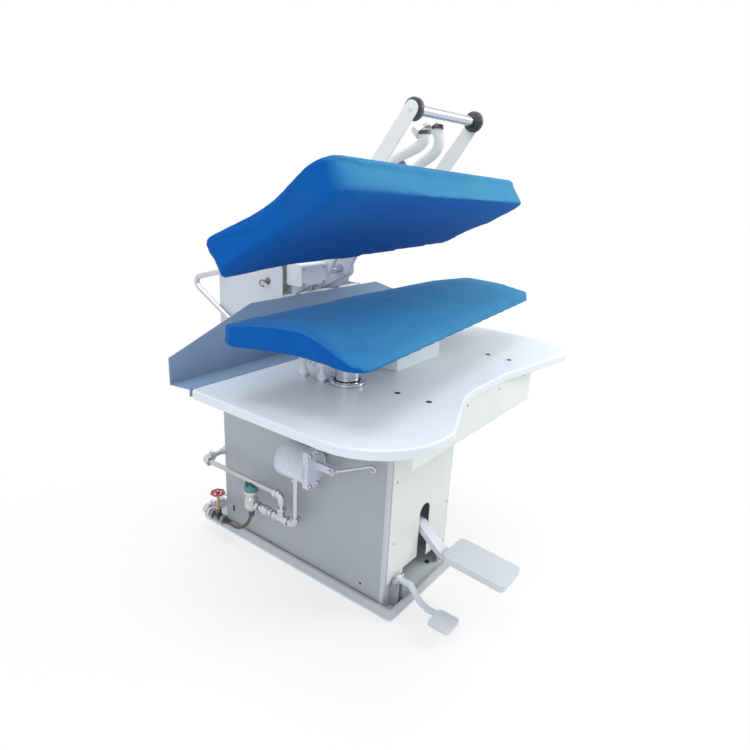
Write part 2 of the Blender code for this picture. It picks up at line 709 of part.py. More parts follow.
def sweep(name, stations, look, steps=12, sharp_angle=35.0):
    """Carry a circle along (place, radius) stations; two at one place make a step."""
    places = [Vector(place) for place, radius in stations]
    bm = bmesh.new()
    rings = []
    side = None
    for index, (place, (spot, radius)) in enumerate(zip(places, stations)):
        ahead = Vector((0.0, 0.0, 0.0))
        for other in places[index + 1:]:
            if (other - place).length > GAP / 3:
                ahead = (other - place).normalized()
                break
        behind = Vector((0.0, 0.0, 0.0))
        for other in reversed(places[:index]):
            if (place - other).length > GAP / 3:
                behind = (place - other).normalized()
                break
        along = (ahead + behind).normalized()
        if side is None:
            side = along.orthogonal().normalized()
        side = (side - along * side.dot(along)).normalized()
        up = along.cross(side)
        ring = []
        for step in range(steps):
            angle = 2 * math.pi * step / steps
            ring.append(bm.verts.new(place + (side * math.cos(angle) + up * math.sin(angle)) * radius))
        rings.append(ring)
    for lower, upper in zip(rings, rings[1:]):
        for step in range(steps):
            after = (step + 1) % steps
            bm.faces.new((lower[step], lower[after], upper[after], upper[step]))
    bm.faces.new(rings[0])
    bm.faces.new(rings[-1])
    return finish(name, bm, look, sharp_angle)


def bar_between(name, start, end, radius, look, steps=12):
    """A round bar between two points."""
    return sweep(name, [(start, radius), (end, radius)], look, steps)


def piped(points, radius, fitting, bend, leg):
    """Stations of a pipe whose corners are screwed elbows of a larger radius."""
    stations = [(Vector(points[0]), radius)]
    for before, corner, after in zip(points, points[1:], points[2:]):
        corner = Vector(corner)
        into = (Vector(before) - corner).normalized()
        out = (Vector(after) - corner).normalized()
        stations.append((corner + into * leg, radius))
        stations += [(place, fitting) for place in
                     filleted([corner + into * leg, corner, corner + out * leg], bend, 5)]
        stations.append((corner + out * leg, radius))
    stations.append((Vector(points[-1]), radius))
    return stations


def torus(name, centre, radius, tube_radius, look, steps=20, sides=8):
    """A ring about the Z axis."""
    bm = bmesh.new()
    rings = []
    for step in range(steps):
        angle = 2 * math.pi * step / steps
        ring = []
        for side in range(sides):
            turn = 2 * math.pi * side / sides
            reach = radius + tube_radius * math.cos(turn)
            ring.append(bm.verts.new((centre[0] + reach * math.cos(angle),
                                      centre[1] + reach * math.sin(angle),
                                      centre[2] + tube_radius * math.sin(turn))))
        rings.append(ring)
    for index, ring in enumerate(rings):
        following = rings[(index + 1) % steps]
        for side in range(sides):
            after = (side + 1) % sides
            bm.faces.new((ring[side], ring[after], following[after], following[side]))
    return finish(name, bm, look)


# Pedestal and duct between the table and the buck
chest_bottom = BUCK_BOTTOM - CHEST_DROP
on_table = TABLE_TOP + GAP
under_chest = chest_bottom - GAP
pedestal_outline = rounded([
    (PEDESTAL_LEFT, PEDESTAL_FRONT, PEDESTAL_ROUND), (PEDESTAL_RIGHT, PEDESTAL_FRONT, PEDESTAL_ROUND),
    (PEDESTAL_RIGHT, PEDESTAL_REAR, PEDESTAL_ROUND), (PEDESTAL_LEFT, PEDESTAL_REAR, PEDESTAL_ROUND)], 3)
pedestal_box = prism("pedestal_box", pedestal_outline, "Z", on_table, under_chest, CREAM_WHITE)
cut(pedestal_box, box("pedestal_hollow",
                      (PEDESTAL_LEFT + SHEET, PEDESTAL_FRONT + SHEET, TABLE_TOP - OVERRUN),
                      (PEDESTAL_RIGHT - SHEET, PEDESTAL_REAR - SHEET, BUCK_BOTTOM + OVERRUN),
                      CREAM_WHITE))
collar_top = on_table + DUCT_COLLAR_HEIGHT
turned("vacuum_duct", [
    (0, on_table), (DUCT_COLLAR_RADIUS, on_table), (DUCT_COLLAR_RADIUS, collar_top - SHEET),
    (DUCT_COLLAR_RADIUS - SHEET, collar_top), (DUCT_RADIUS, collar_top), (DUCT_RADIUS, under_chest),
    (0, under_chest)], (*DUCT_PLACE, 0), "Z", CHROME)
duct_start = (*DUCT_PLACE, table_under - GAP)
duct_corner = (*DUCT_PLACE, table_under - DUCT_DROP)
duct_end = (-half_cabinet - GAP, DUCT_PLACE[1], table_under - DUCT_DROP)
duct_path = filleted([duct_start, duct_corner, duct_end], DUCT_RADIUS + GAP)
sweep("vacuum_elbow", [(place, DUCT_RADIUS) for place in duct_path], BRIGHT_STEEL, 16)


def union_fitting(name, place):
    """A pipe with two flared nuts that joins the buck's chest to the table."""
    height = under_chest - on_table
    profile = [
        (0, 0), (UNION_RADIUS, 0), (UNION_RADIUS, height * UNION_SHARES[0]),
        (UNION_WAIST, height * UNION_SHARES[1]), (UNION_WAIST, height * UNION_SHARES[2]),
        (UNION_RADIUS, height * UNION_SHARES[3]), (UNION_RADIUS, height * UNION_SHARES[4]),
        (UNION_WAIST, height * UNION_SHARES[5]), (UNION_WAIST, height), (0, height)]
    return turned(name, profile, (*place, on_table), "Z", WHITE_HOSE, 12)


union_fitting("buck_union_front", UNION_PLACES[1])
union_fitting("buck_union_rear", UNION_PLACES[0])

# Buck: a cast chest under a crowned pad
buck_length = BUCK_RIGHT - BUCK_LEFT


def crown_share(share):
    """The crown's height at a share of the depth, from the front, as a share of its peak."""
    if share < CROWN_PEAK_SHARE:
        part = share / CROWN_PEAK_SHARE
        return (1 - (1 - part) ** 2) / 2 + (1 - math.cos(math.pi * part)) / 4
    part = (share - CROWN_PEAK_SHARE) / (1 - CROWN_PEAK_SHARE)
    return 1 - (1 - CROWN_REAR_SHARE) * part ** 2


def crown_section(along, lift, bottom, steps):
    """The (y, z) outline under the crown at a share of the buck's length, from the left."""
    crown = BUCK_CROWN + along * (BUCK_CROWN_END - BUCK_CROWN)
    edge = BUCK_FRONT_EDGE + along * (BUCK_FRONT_EDGE_END - BUCK_FRONT_EDGE)
    start = BUCK_BOTTOM + edge + lift
    front = BUCK_FRONT + along * BUCK_SWEEP
    outline = [(front - BUCK_SWEEP, bottom), (front - BUCK_SWEEP, start)]
    for step in range(steps + 1):
        share = step / steps
        outline.append((front + share * BUCK_DEPTH, start + crown * crown_share(share)))
    outline += [(front + BUCK_DEPTH + BUCK_SWEEP, start + crown * crown_share(1.0)),
                (front + BUCK_DEPTH + BUCK_SWEEP, bottom)]
    return outline


def crown_solid(name, lift, bottom, steps=18):
    """Everything under the buck's crown, which flattens and sweeps back towards the right."""
    over = BUCK_SWEEP / buck_length
    bm = bmesh.new()
    left, right = [[bm.verts.new((BUCK_LEFT + along * buck_length, y, z))
                    for y, z in crown_section(along, lift, bottom, steps)]
                   for along in (-over, 1 + over)]
    sides = []
    for index, start in enumerate(left):
        sides.append(bm.faces.new((left[index - 1], start, right[index], right[index - 1])))
    bmesh.ops.triangulate(bm, faces=sides)
    bm.faces.new(left)
    bm.faces.new(right)
    return finish(name, bm, COVER_BLUE)


def taper_solid(name, lift, bottom, steps=6):
    """Everything under the line that lowers the crown towards the right end."""
    top = BUCK_BOTTOM + BUCK_FRONT_EDGE + BUCK_CROWN + OVERRUN + lift
    fall = top - (BUCK_BOTTOM + BUCK_RIGHT_EDGE + lift)
    outline = [(BUCK_LEFT - BUCK_SWEEP, bottom), (BUCK_LEFT - BUCK_SWEEP, top)]
    for step in range(steps + 1):
        share = step / steps
        outline.append((BUCK_CROWN_RIGHT + share * (BUCK_RIGHT - BUCK_CROWN_RIGHT),
                        top - fall * share ** 2))
    outline += [(BUCK_RIGHT + BUCK_SWEEP, BUCK_BOTTOM + BUCK_RIGHT_EDGE + lift),
                (BUCK_RIGHT + BUCK_SWEEP, bottom)]
    return prism(name, outline, "Y", BUCK_FRONT - BUCK_SWEEP,
                 BUCK_FRONT + BUCK_DEPTH + 2 * BUCK_SWEEP, COVER_BLUE)


def buck_body(name, inset, lift, bottom, look):
    """The buck's outline, moved inward, under its crown and its taper."""
    outline = rounded(inset_corners(BUCK_CORNERS, inset))
    body = prism(name, outline, "Z", bottom, BUCK_BOTTOM + 2 * BUCK_CROWN, look)
    low = bottom - OVERRUN
    return keep_inside(body, crown_solid(name + "_crown", lift, low),
                       taper_solid(name + "_taper", lift, low))


buck_pad = buck_body("buck_pad", 0, 0, BUCK_BOTTOM, COVER_BLUE)
cut(buck_pad, buck_body("buck_pocket", BUCK_PAD_SIDE - GAP, GAP - PAD_WALL,
                        BUCK_BOTTOM - OVERRUN, COVER_BLUE))
buck_body("buck_chest", BUCK_PAD_SIDE, -PAD_WALL, chest_bottom, CAST_ALUMINIUM)

# Head: a cast chest in a padded cover, modelled closed over the buck
head_chest_top = HEAD_TOP + CHEST_STAND
head_hinge = hinge_empty("head_hinge", (0, HINGE_Y, HINGE_Z))


def head_body(name, inset, lift, top, look):
    """The head's outline, moved inward, above the buck's lifted top."""
    body = prism(name, rounded(inset_corners(HEAD_CORNERS, inset)), "Z", HEAD_RIM + lift, top, look)
    low = HEAD_RIM - 2 * BUCK_CROWN
    crown = crown_solid(name + "_crown", HEAD_CLEARANCE + lift, low)
    taper = taper_solid(name + "_taper", HEAD_CLEARANCE + lift, low)
    keep_inside(crown, taper)
    cut(body, crown)
    hang_on(head_hinge, crown, taper)
    return body


head_pad = head_body("head_pad", 0, 0, HEAD_TOP, COVER_BLUE)
head_pocket = head_body("head_pocket", HEAD_PAD_WALL - GAP, HEAD_PAD_WALL - GAP,
                        HEAD_TOP + OVERRUN, COVER_BLUE)
cut(head_pad, head_pocket)
head_chest = head_body("head_chest", HEAD_PAD_WALL, HEAD_PAD_WALL, head_chest_top, CAST_ALUMINIUM)
on_head = head_chest_top + GAP

# Yoke and hinge shaft, which turn with the head
closed_tail = TAIL_ANGLE + HEAD_OPEN_ANGLE


def on_tail(reach, across, turn):
    """A (y, z) point at a reach behind the hinge and across the tail, with the tail at a turn."""
    spot = Matrix.Rotation(turn, 2) @ Vector((reach, across))
    return (HINGE_Y + spot.x, HINGE_Z + spot.y)


tail_end = TAIL_SPRING_REACH + TAIL_DEPTH / 2
yoke_outline = rounded([
    (YOKE_FOOT_FRONT, on_head, 0), (YOKE_FOOT_END, on_head, YOKE_BEND),
    (HINGE_Y - YOKE_RING / 2, HINGE_Z - YOKE_RING, YOKE_BEND),
    (*on_tail(tail_end, -TAIL_DEPTH / 2, closed_tail), TAIL_DEPTH / 3),
    (*on_tail(tail_end, TAIL_DEPTH / 2, closed_tail), TAIL_DEPTH / 3),
    (HINGE_Y + YOKE_RING, HINGE_Z + YOKE_RING, YOKE_BEND),
    (YOKE_SHOULDER, on_head + YOKE_HEIGHT, 2 * YOKE_BEND),
    (YOKE_FOOT_FRONT, on_head + YOKE_HEIGHT / 2, YOKE_BEND / 2)])
yoke_arms = []
for side, name in ((-1, "head_yoke"), (1, "yoke_arm_right")):
    middle = side * YOKE_X
    yoke_arms.append(prism(name, yoke_outline, "X", middle - YOKE_WIDTH / 2,
                           middle + YOKE_WIDTH / 2, CREAM_WHITE))
head_yoke, right_arm = yoke_arms
web = box("yoke_web", (-YOKE_X, YOKE_FOOT_FRONT + YOKE_WIDTH / 2, on_head),
          (YOKE_X, YOKE_FOOT_REAR, on_head + YOKE_HEIGHT / 2), CREAM_WHITE)
link_pin = rod("yoke_link_pin", (0, *on_tail(TAIL_LINK_REACH, 0, closed_tail)), "X",
               TAIL_PIN_RADIUS, -YOKE_X, YOKE_X, CREAM_WHITE, 12)
spring_pin = rod("yoke_spring_pin", (0, *on_tail(TAIL_SPRING_REACH, 0, closed_tail)), "X",
                 TAIL_PIN_RADIUS, -YOKE_X, YOKE_X, CREAM_WHITE, 12)
join(head_yoke, right_arm, web, link_pin, spring_pin)
shaft_hole = rod("shaft_hole", (0, HINGE_Y, HINGE_Z), "X", bore(SHAFT_RADIUS, SHAFT_STEPS),
                 SHAFT_LEFT, SHAFT_RIGHT, CREAM_WHITE, SHAFT_STEPS)
cut(head_yoke, shaft_hole)
hinge_shaft = rod("hinge_shaft", (0, HINGE_Y, HINGE_Z), "X", SHAFT_RADIUS,
                  SHAFT_LEFT, SHAFT_RIGHT, BRIGHT_STEEL, SHAFT_STEPS)

# Handle: two flat arms, a chrome bar and two black collars
handle_z = head_chest_top + HANDLE_RISE
arm_drop = math.atan2(handle_z - on_head, ARM_ROOT_Y - HANDLE_Y)
arm_normal = Vector((math.sin(arm_drop), math.cos(arm_drop)))
tip = Vector((HANDLE_Y, handle_z))
forward = Vector((-math.cos(arm_drop), math.sin(arm_drop)))
tip_front = tip + forward * ARM_TIP_WIDTH / 2
arm_outline = rounded([
    (ARM_ROOT_Y + ARM_FOOT, on_head, 0),
    (ARM_ROOT_Y + ARM_FOOT, on_head + ARM_FOOT / 2, ARM_BEND),
    (*(Vector((ARM_ROOT_Y - ARM_FOOT, on_head + ARM_FOOT / 3)) + arm_normal * ARM_ROOT_WIDTH / 2),
     4 * ARM_BEND),
    (*(tip_front + arm_normal * ARM_TIP_WIDTH / 2), ARM_TIP_WIDTH / 2 - GAP),
    (*(tip_front - arm_normal * ARM_TIP_WIDTH / 2), ARM_TIP_WIDTH / 2 - GAP),
    (ARM_ROOT_Y - ARM_FOOT, on_head, ARM_BEND)])
head_parts = [head_pad, head_pocket, head_chest, head_yoke, right_arm, web, link_pin, spring_pin,
              shaft_hole, hinge_shaft]
for side, word in ((-1, "left"), (1, "right")):
    inner = side * HANDLE_HALF
    outer = side * (HANDLE_HALF + ARM_THICK)
    head_parts.append(prism("handle_arm_" + word, arm_outline, "X", inner, outer, PEDAL_GREY))
    collar_outer = inner - side * GAP
    collar_inner = collar_outer - side * COLLAR_WIDTH
    low, high = sorted((collar_inner, collar_outer))
    rim = COLLAR_WIDTH / 5
    collar = turned("handle_collar_" + word, [
        (0, low), (COLLAR_RADIUS - rim, low), (COLLAR_RADIUS, low + rim), (COLLAR_RADIUS, high - rim),
        (COLLAR_RADIUS - rim, high), (0, high)], (0, HANDLE_Y, handle_z), "X", BLACK_RUBBER)
    collar_bore = rod("collar_bore_" + word, (0, HANDLE_Y, handle_z), "X", bore(HANDLE_RADIUS),
                      low - OVERRUN, high + OVERRUN, BLACK_RUBBER)
    cut(collar, collar_bore)
    head_parts += [collar, collar_bore]
head_parts.append(rod("handle_bar", (0, HANDLE_Y, handle_z), "X", HANDLE_RADIUS,
                      GAP - HANDLE_HALF, HANDLE_HALF - GAP, CHROME))

# Jumper hoses: two hoses rise from the head and meet at a clamped cross piece
hose_ends = []
for word, hose_x, knots in (("left", HOSE_LEFT_X, HOSE_LEFT_KNOTS),
                            ("right", HOSE_RIGHT_X, HOSE_RIGHT_KNOTS)):
    knots = [Vector((hose_x, y, on_head + rise)) for y, rise in knots]
    stub = knots[0] + Vector((0, 0, HOSE_STUB))
    route = knots[:1] + smooth_path([stub] + knots[1:], 3)
    head_parts.append(sweep("jumper_hose_" + word, [(place, HOSE_RADIUS) for place in route],
                            WHITE_HOSE, 14))
    hose_ends.append((route[-1], (route[-1] - route[-2]).normalized()))
clamps = []
for word, (end, along) in zip(("left", "right"), hose_ends):
    start = end + along * GAP
    clamps.append(sweep("jumper_clamp_" + word, [
        (start, CLAMP_RADIUS), (start + along * CLAMP_WIDTH, CLAMP_RADIUS),
        (start + along * CLAMP_WIDTH, HOSE_RADIUS), (start + along * CLAMP_WIDTH * 2, HOSE_RADIUS)],
        BRIGHT_STEEL))
cross = bar_between("jumper_cross", *[end + along * CLAMP_WIDTH * CROSS_SHARE
                                      for end, along in hose_ends], HOSE_RADIUS / 2, BRIGHT_STEEL)
jumper_connector = clamps[0]
jumper_connector.name = "jumper_connector"
join(jumper_connector, clamps[1], cross)
head_parts += [jumper_connector, clamps[1], cross]
hang_on(head_hinge, *head_parts)
head_hinge.rotation_euler = (-HEAD_OPEN_ANGLE, 0.0, 0.0)

# Hinge beam and bearings at the front of the column
box("hinge_beam", (-inside_half, BEAM_FRONT, BEAM_BOTTOM),
    (inside_half, BEAM_FRONT + BEAM_DEPTH, BEAM_TOP), CABINET_GREY)
bearing_outline = rounded([
    (BEAM_FRONT, BEAM_TOP + GAP, 0), (BEAM_FRONT + BEAM_DEPTH, BEAM_TOP + GAP, 0),
    (HINGE_Y + BEARING_RADIUS, HINGE_Z + BEARING_RADIUS, BEARING_RADIUS - GAP),
    (HINGE_Y - BEARING_RADIUS, HINGE_Z + BEARING_RADIUS, BEARING_RADIUS - GAP),
    (HINGE_Y - BEARING_RADIUS, HINGE_Z - BEARING_RADIUS / 2, BEARING_RADIUS / 2)], 8)
bearing_left = prism("hinge_bearing_left", bearing_outline, "X",
                     HOUSING_FOOT_X - BEARING_WIDTH / 2, HOUSING_FOOT_X + BEARING_WIDTH / 2, CREAM_WHITE)
join(bearing_left, prism("bearing_housing", rounded([
    (HINGE_Y + y * BEARING_RADIUS, HINGE_Z + z, BEARING_RADIUS / 5)
    for y, z in ((-1, -HOUSING_DROP), (1, -HOUSING_DROP), (1, BEARING_RADIUS), (-1, BEARING_RADIUS))], 3),
    "X", HOUSING_LEFT, HOUSING_RIGHT, CREAM_WHITE))
bearing_right = prism("hinge_bearing_right", bearing_outline, "X", BEARING_X - BEARING_WIDTH / 2,
                      BEARING_X + BEARING_WIDTH / 2, CREAM_WHITE)
for bearing in (bearing_left, bearing_right):
    cut(bearing, rod(bearing.name + "_bore", (0, HINGE_Y, HINGE_Z), "X",
                     bore(SHAFT_RADIUS, SHAFT_STEPS, RUNNING_GAP), SHAFT_LEFT - GAP,
                     SHAFT_RIGHT + GAP, CREAM_WHITE, SHAFT_STEPS))

# Counterbalance springs from the yoke's tail to a bar across the column
open_spring = on_tail(TAIL_SPRING_REACH, 0, TAIL_ANGLE)
bar_half = ANCHOR_BAR / 2
box("spring_anchor_bar", (-inside_half, open_spring[0] - bar_half, SPRING_BOTTOM - ANCHOR_BAR),
    (inside_half, open_spring[0] + bar_half, SPRING_BOTTOM), CABINET_GREY)
spring_low = SPRING_BOTTOM + GAP
spring_high = open_spring[1] - TAIL_PIN_RADIUS - GAP
spring_end = 3 * SPRING_WIRE
for side, word in ((-1, "left"), (1, "right")):
    coil = [Vector((0, 0, spring_low)), Vector((0, 0, spring_low + spring_end))]
    body_low = spring_low + 2 * spring_end
    body_high = spring_high - 2 * spring_end
    for step in range(SPRING_TURNS * SPRING_STEPS + 1):
        share = step / (SPRING_TURNS * SPRING_STEPS)
        angle = 2 * math.pi * share * SPRING_TURNS
        coil.append(Vector((SPRING_RADIUS * math.cos(angle), SPRING_RADIUS * math.sin(angle),
                            body_low + share * (body_high - body_low))))
    coil += [Vector((0, 0, spring_high - spring_end)), Vector((0, 0, spring_high))]
    shift = Vector((side * SPRING_X, open_spring[0], 0))
    sweep("counter_spring_" + word, [(shift + place, SPRING_WIRE) for place in coil], BRIGHT_STEEL, 5)

# Main pedal, its shaft and its bearings
shaft_place = (0, PEDAL_SHAFT_Y, PEDAL_SHAFT_Z)
rear_pin = (PEDAL_SHAFT_Y + PEDAL_REAR_ARM, PEDAL_SHAFT_Z)
pad_fall = math.atan2(PEDAL_PAD_REAR_Z - PEDAL_PAD_FRONT_Z, PEDAL_PAD_REAR - PEDAL_PAD_FRONT)
lever_low = PEDAL_X - PEDAL_ARM_WIDTH / 2
lever_high = PEDAL_X + PEDAL_ARM_WIDTH / 2
arm_under = SHEET + GAP + PEDAL_ARM_THICK / 2
meet_reach = PEDAL_MEET * math.tan(pad_fall) + SHEET
lever_line = [
    (rear_pin[0] + LINK_EYE_RADIUS / 2, rear_pin[1]), (PEDAL_SHAFT_Y, PEDAL_SHAFT_Z), *PEDAL_LINE,
    (PEDAL_PAD_REAR - PEDAL_MEET, PEDAL_PAD_REAR_Z - arm_under - meet_reach),
    (PEDAL_PAD_FRONT + PEDAL_PAD_WIDTH / 2,
     PEDAL_PAD_FRONT_Z - arm_under + PEDAL_PAD_WIDTH / 2 * math.tan(pad_fall))]
main_pedal_lever = prism("main_pedal_lever", strap(lever_line, PEDAL_ARM_THICK), "X",
                         lever_low, lever_high, PEDAL_GREY)
join(main_pedal_lever, rod("lever_boss", shaft_place, "X", PEDAL_BOSS_RADIUS,
                           lever_low - SHEET, lever_high + SHEET, PEDAL_GREY),
     rod("lever_eye", (0, *rear_pin), "X", LINK_EYE_RADIUS, lever_low, lever_high, PEDAL_GREY))
cut(main_pedal_lever, rod("lever_shaft_hole", shaft_place, "X", bore(PEDAL_SHAFT_RADIUS, SHAFT_STEPS),
                          lever_low - PEDAL_ARM_WIDTH, lever_high + PEDAL_ARM_WIDTH, PEDAL_GREY,
                          SHAFT_STEPS),
    rod("lever_pin_hole", (0, *rear_pin), "X", bore(LINK_PIN_RADIUS, PIN_STEPS, RUNNING_GAP),
        lever_low - OVERRUN, lever_high + OVERRUN, PEDAL_GREY, PIN_STEPS))
shaft_half = PEDAL_BEARING_X + PEDAL_BEARING_WIDTH
rod("pedal_shaft", shaft_place, "X", PEDAL_SHAFT_RADIUS, -shaft_half, shaft_half, BRIGHT_STEEL,
    SHAFT_STEPS)
pedestal_half = PEDAL_BOSS_RADIUS * 1.5
bearing_outline = rounded([
    (PEDAL_SHAFT_Y - pedestal_half, panel_foot, 0), (PEDAL_SHAFT_Y + pedestal_half, panel_foot, 0),
    (PEDAL_SHAFT_Y + PEDAL_BOSS_RADIUS, PEDAL_SHAFT_Z + PEDAL_BOSS_RADIUS, PEDAL_BOSS_RADIUS - GAP),
    (PEDAL_SHAFT_Y - PEDAL_BOSS_RADIUS, PEDAL_SHAFT_Z + PEDAL_BOSS_RADIUS, PEDAL_BOSS_RADIUS - GAP)])
for side, word in ((-1, "left"), (1, "right")):
    middle = side * PEDAL_BEARING_X
    bearing = prism("pedal_bearing_" + word, bearing_outline, "X", middle - PEDAL_BEARING_WIDTH / 2,
                    middle + PEDAL_BEARING_WIDTH / 2, CABINET_GREY)
    cut(bearing, rod("pedal_bore_" + word, shaft_place, "X",
                     bore(PEDAL_SHAFT_RADIUS, SHAFT_STEPS, RUNNING_GAP),
                     middle - PEDAL_BEARING_WIDTH, middle + PEDAL_BEARING_WIDTH, CABINET_GREY,
                     SHAFT_STEPS))

# Main pedal's pad: a shallow tray turned over, with rounded corners
pad_half = PEDAL_PAD_WIDTH / 2
pad_round = PEDAL_PAD_WIDTH / 8


def pad_outline(inset):
    """The pad's plan, moved inward."""
    return rounded([(PEDAL_X - pad_half + inset, PEDAL_PAD_FRONT + inset, pad_round),
                    (PEDAL_X + pad_half - inset, PEDAL_PAD_FRONT + inset, pad_round),
                    (PEDAL_X + pad_half - inset, PEDAL_PAD_REAR - inset, pad_round),
                    (PEDAL_X - pad_half + inset, PEDAL_PAD_REAR - inset, pad_round)], 4)


main_pedal_pad = prism("main_pedal_pad", pad_outline(0), "Z", -PEDAL_PAD_SKIRT, 0, PEDAL_GREY)
skirt_low = -PEDAL_PAD_SKIRT - OVERRUN
pad_hollow = prism("pad_hollow", pad_outline(SHEET), "Z", skirt_low, -SHEET, PEDAL_GREY)
neck = box("pad_neck", (lever_low - GAP, PEDAL_PAD_REAR - SHEET - OVERRUN, skirt_low),
           (lever_high + GAP, PEDAL_PAD_REAR + OVERRUN, -SHEET), PEDAL_GREY)
cut(main_pedal_pad, pad_hollow, neck)
tilt = (Matrix.Translation((0, PEDAL_PAD_REAR, PEDAL_PAD_REAR_Z))
        @ Matrix.Rotation(pad_fall, 4, "X") @ Matrix.Translation((0, -PEDAL_PAD_REAR, 0)))
for shape in (main_pedal_pad, pad_hollow, neck):
    shape.data.transform(tilt)

# Link rod from the pedal's rear end up to the yoke's tail
open_link = on_tail(TAIL_LINK_REACH, 0, TAIL_ANGLE)
eye_high = lever_low - GAP
eye_low = eye_high - LINK_EYE_WIDTH
link_x = (eye_low + eye_high) / 2
link_rod = bar_between("link_rod", (link_x, *rear_pin), (link_x, *open_link), LINK_RADIUS,
                       BRIGHT_STEEL)
join(link_rod,
     rod("link_low_eye", (0, *rear_pin), "X", LINK_EYE_RADIUS, eye_low, eye_high, BRIGHT_STEEL),
     rod("link_high_eye", (0, *open_link), "X", LINK_EYE_RADIUS, eye_low, eye_high, BRIGHT_STEEL),
     rod("link_pin", (0, *rear_pin), "X", LINK_PIN_RADIUS, link_x, lever_high + SHEET, BRIGHT_STEEL,
         PIN_STEPS))
cut(link_rod, rod("link_high_hole", (0, *open_link), "X", bore(TAIL_PIN_RADIUS, 12) + LINK_PLAY,
                  eye_low - OVERRUN, eye_high + OVERRUN, BRIGHT_STEEL, 12))

# Small pedal, its bracket and its pin
small_line = [(SMALL_PIVOT_Y, SMALL_PIVOT_Z), *SMALL_LINE, (SMALL_PAD_REAR, SMALL_PAD_Z),
              (SMALL_PAD_REAR - SMALL_PAD_THICK, SMALL_PAD_Z)]
small_tail_line = [(SMALL_PIVOT_Y, SMALL_PIVOT_Z), *SMALL_TAIL]
small_low = SMALL_X - SMALL_ARM_WIDTH / 2
small_high = SMALL_X + SMALL_ARM_WIDTH / 2
small_pivot = (0, SMALL_PIVOT_Y, SMALL_PIVOT_Z)
small_pedal = prism("small_pedal", strap(small_line, SMALL_ARM_THICK), "X", small_low, small_high,
                    PEDAL_GREY)
small_tail = prism("small_tail", strap(small_tail_line, SMALL_ARM_THICK), "X", small_low, small_high,
                   PEDAL_GREY)
small_half = SMALL_PAD_WIDTH / 2
pad_centre = SMALL_X + SMALL_PAD_SHIFT
small_pad = prism("small_pad", rounded([
    (pad_centre - small_half, SMALL_PAD_FRONT, SMALL_PAD_THICK),
    (pad_centre + small_half, SMALL_PAD_FRONT, SMALL_PAD_THICK),
    (pad_centre + small_half, SMALL_PAD_REAR, SMALL_PAD_THICK),
    (pad_centre - small_half, SMALL_PAD_REAR, SMALL_PAD_THICK)], 3), "Z",
    SMALL_PAD_Z - SMALL_PAD_THICK / 2, SMALL_PAD_Z + SMALL_PAD_THICK / 2, PEDAL_GREY)
join(small_pedal, small_pad, small_tail, rod("small_boss", small_pivot, "X", SMALL_BOSS_RADIUS,
                                             small_low, small_high, PEDAL_GREY))
cut(small_pedal, rod("small_bore", small_pivot, "X", bore(SMALL_PIN_RADIUS, PIN_STEPS),
                     small_low - OVERRUN, small_high + OVERRUN, PEDAL_GREY, PIN_STEPS))
cheek_half = SMALL_CHEEK_DEPTH / 2
cheek_outline = rounded([
    (SMALL_PIVOT_Y - cheek_half, panel_foot, 0), (SMALL_PIVOT_Y + cheek_half, panel_foot, 0),
    (SMALL_PIVOT_Y + cheek_half, SMALL_PIVOT_Z + cheek_half, cheek_half - GAP),
    (SMALL_PIVOT_Y - cheek_half, SMALL_PIVOT_Z + cheek_half, cheek_half - GAP)])
cheek_inner = (small_low - GAP, small_high + GAP)
bracket = prism("small_pedal_bracket", cheek_outline, "X", cheek_inner[0] - SMALL_CHEEK,
                cheek_inner[0], CAST_ALUMINIUM)
join(bracket, prism("bracket_cheek", cheek_outline, "X", cheek_inner[1],
                    cheek_inner[1] + SMALL_CHEEK, CAST_ALUMINIUM),
     box("bracket_sole", (cheek_inner[0] - SMALL_CHEEK / 2, SMALL_PIVOT_Y - cheek_half, panel_foot),
         (cheek_inner[1] + SMALL_CHEEK / 2, SMALL_PIVOT_Y + cheek_half, panel_foot + SMALL_CHEEK),
         CAST_ALUMINIUM))
cut(bracket, rod("bracket_bore", small_pivot, "X", bore(SMALL_PIN_RADIUS, PIN_STEPS, RUNNING_GAP),
                 cheek_inner[0] - 2 * SMALL_CHEEK, cheek_inner[1] + 2 * SMALL_CHEEK, CAST_ALUMINIUM,
                 PIN_STEPS))
rod("small_pedal_pin", small_pivot, "X", SMALL_PIN_RADIUS, cheek_inner[0] - 1.5 * SMALL_CHEEK,
    cheek_inner[1] + 1.5 * SMALL_CHEEK, BRIGHT_STEEL, PIN_STEPS)

# Steam valve on the left side: a round chamber, a flange with two ears, and its lever
valve_x = -half_cabinet - VALVE_RADIUS - VALVE_STAND
flange_x = valve_x + VALVE_FLANGE_SHIFT
lever_x = valve_x + LEVER_SHIFT
flange_z = VALVE_Z + VALVE_FLANGE_RISE
steam_valve = rod("steam_valve", (valve_x, 0, VALVE_Z), "Y", VALVE_RADIUS, VALVE_FRONT, VALVE_REAR,
                  CABINET_GREY)
flange = prism("valve_flange", rounded([
    (flange_x + x * VALVE_FLANGE_HALF, flange_z + z * VALVE_FLANGE_HEIGHT, VALVE_FLANGE_ROUND)
    for x, z in ((-1, -1), (1, -1), (1, 1), (-1, 1))], 3), "Y",
    VALVE_FRONT - VALVE_FLANGE_DEPTH, VALVE_FRONT + OVERRUN, CABINET_GREY)
ears = []
for side in (-1, 1):
    low, high = sorted((lever_x + side * EAR_INNER, lever_x + side * (EAR_INNER + EAR_THICK)))
    ears.append(box("valve_ear", (low, VALVE_PIVOT_Y - EAR_HEIGHT / 2, VALVE_PIVOT_Z - EAR_HEIGHT / 2),
                    (high, VALVE_FRONT - VALVE_FLANGE_DEPTH + OVERRUN,
                     VALVE_PIVOT_Z + EAR_HEIGHT / 2), CABINET_GREY))
join(steam_valve, flange, *ears)
valve_pivot = (lever_x, VALVE_PIVOT_Y, VALVE_PIVOT_Z)
ear_outer = EAR_INNER + EAR_THICK
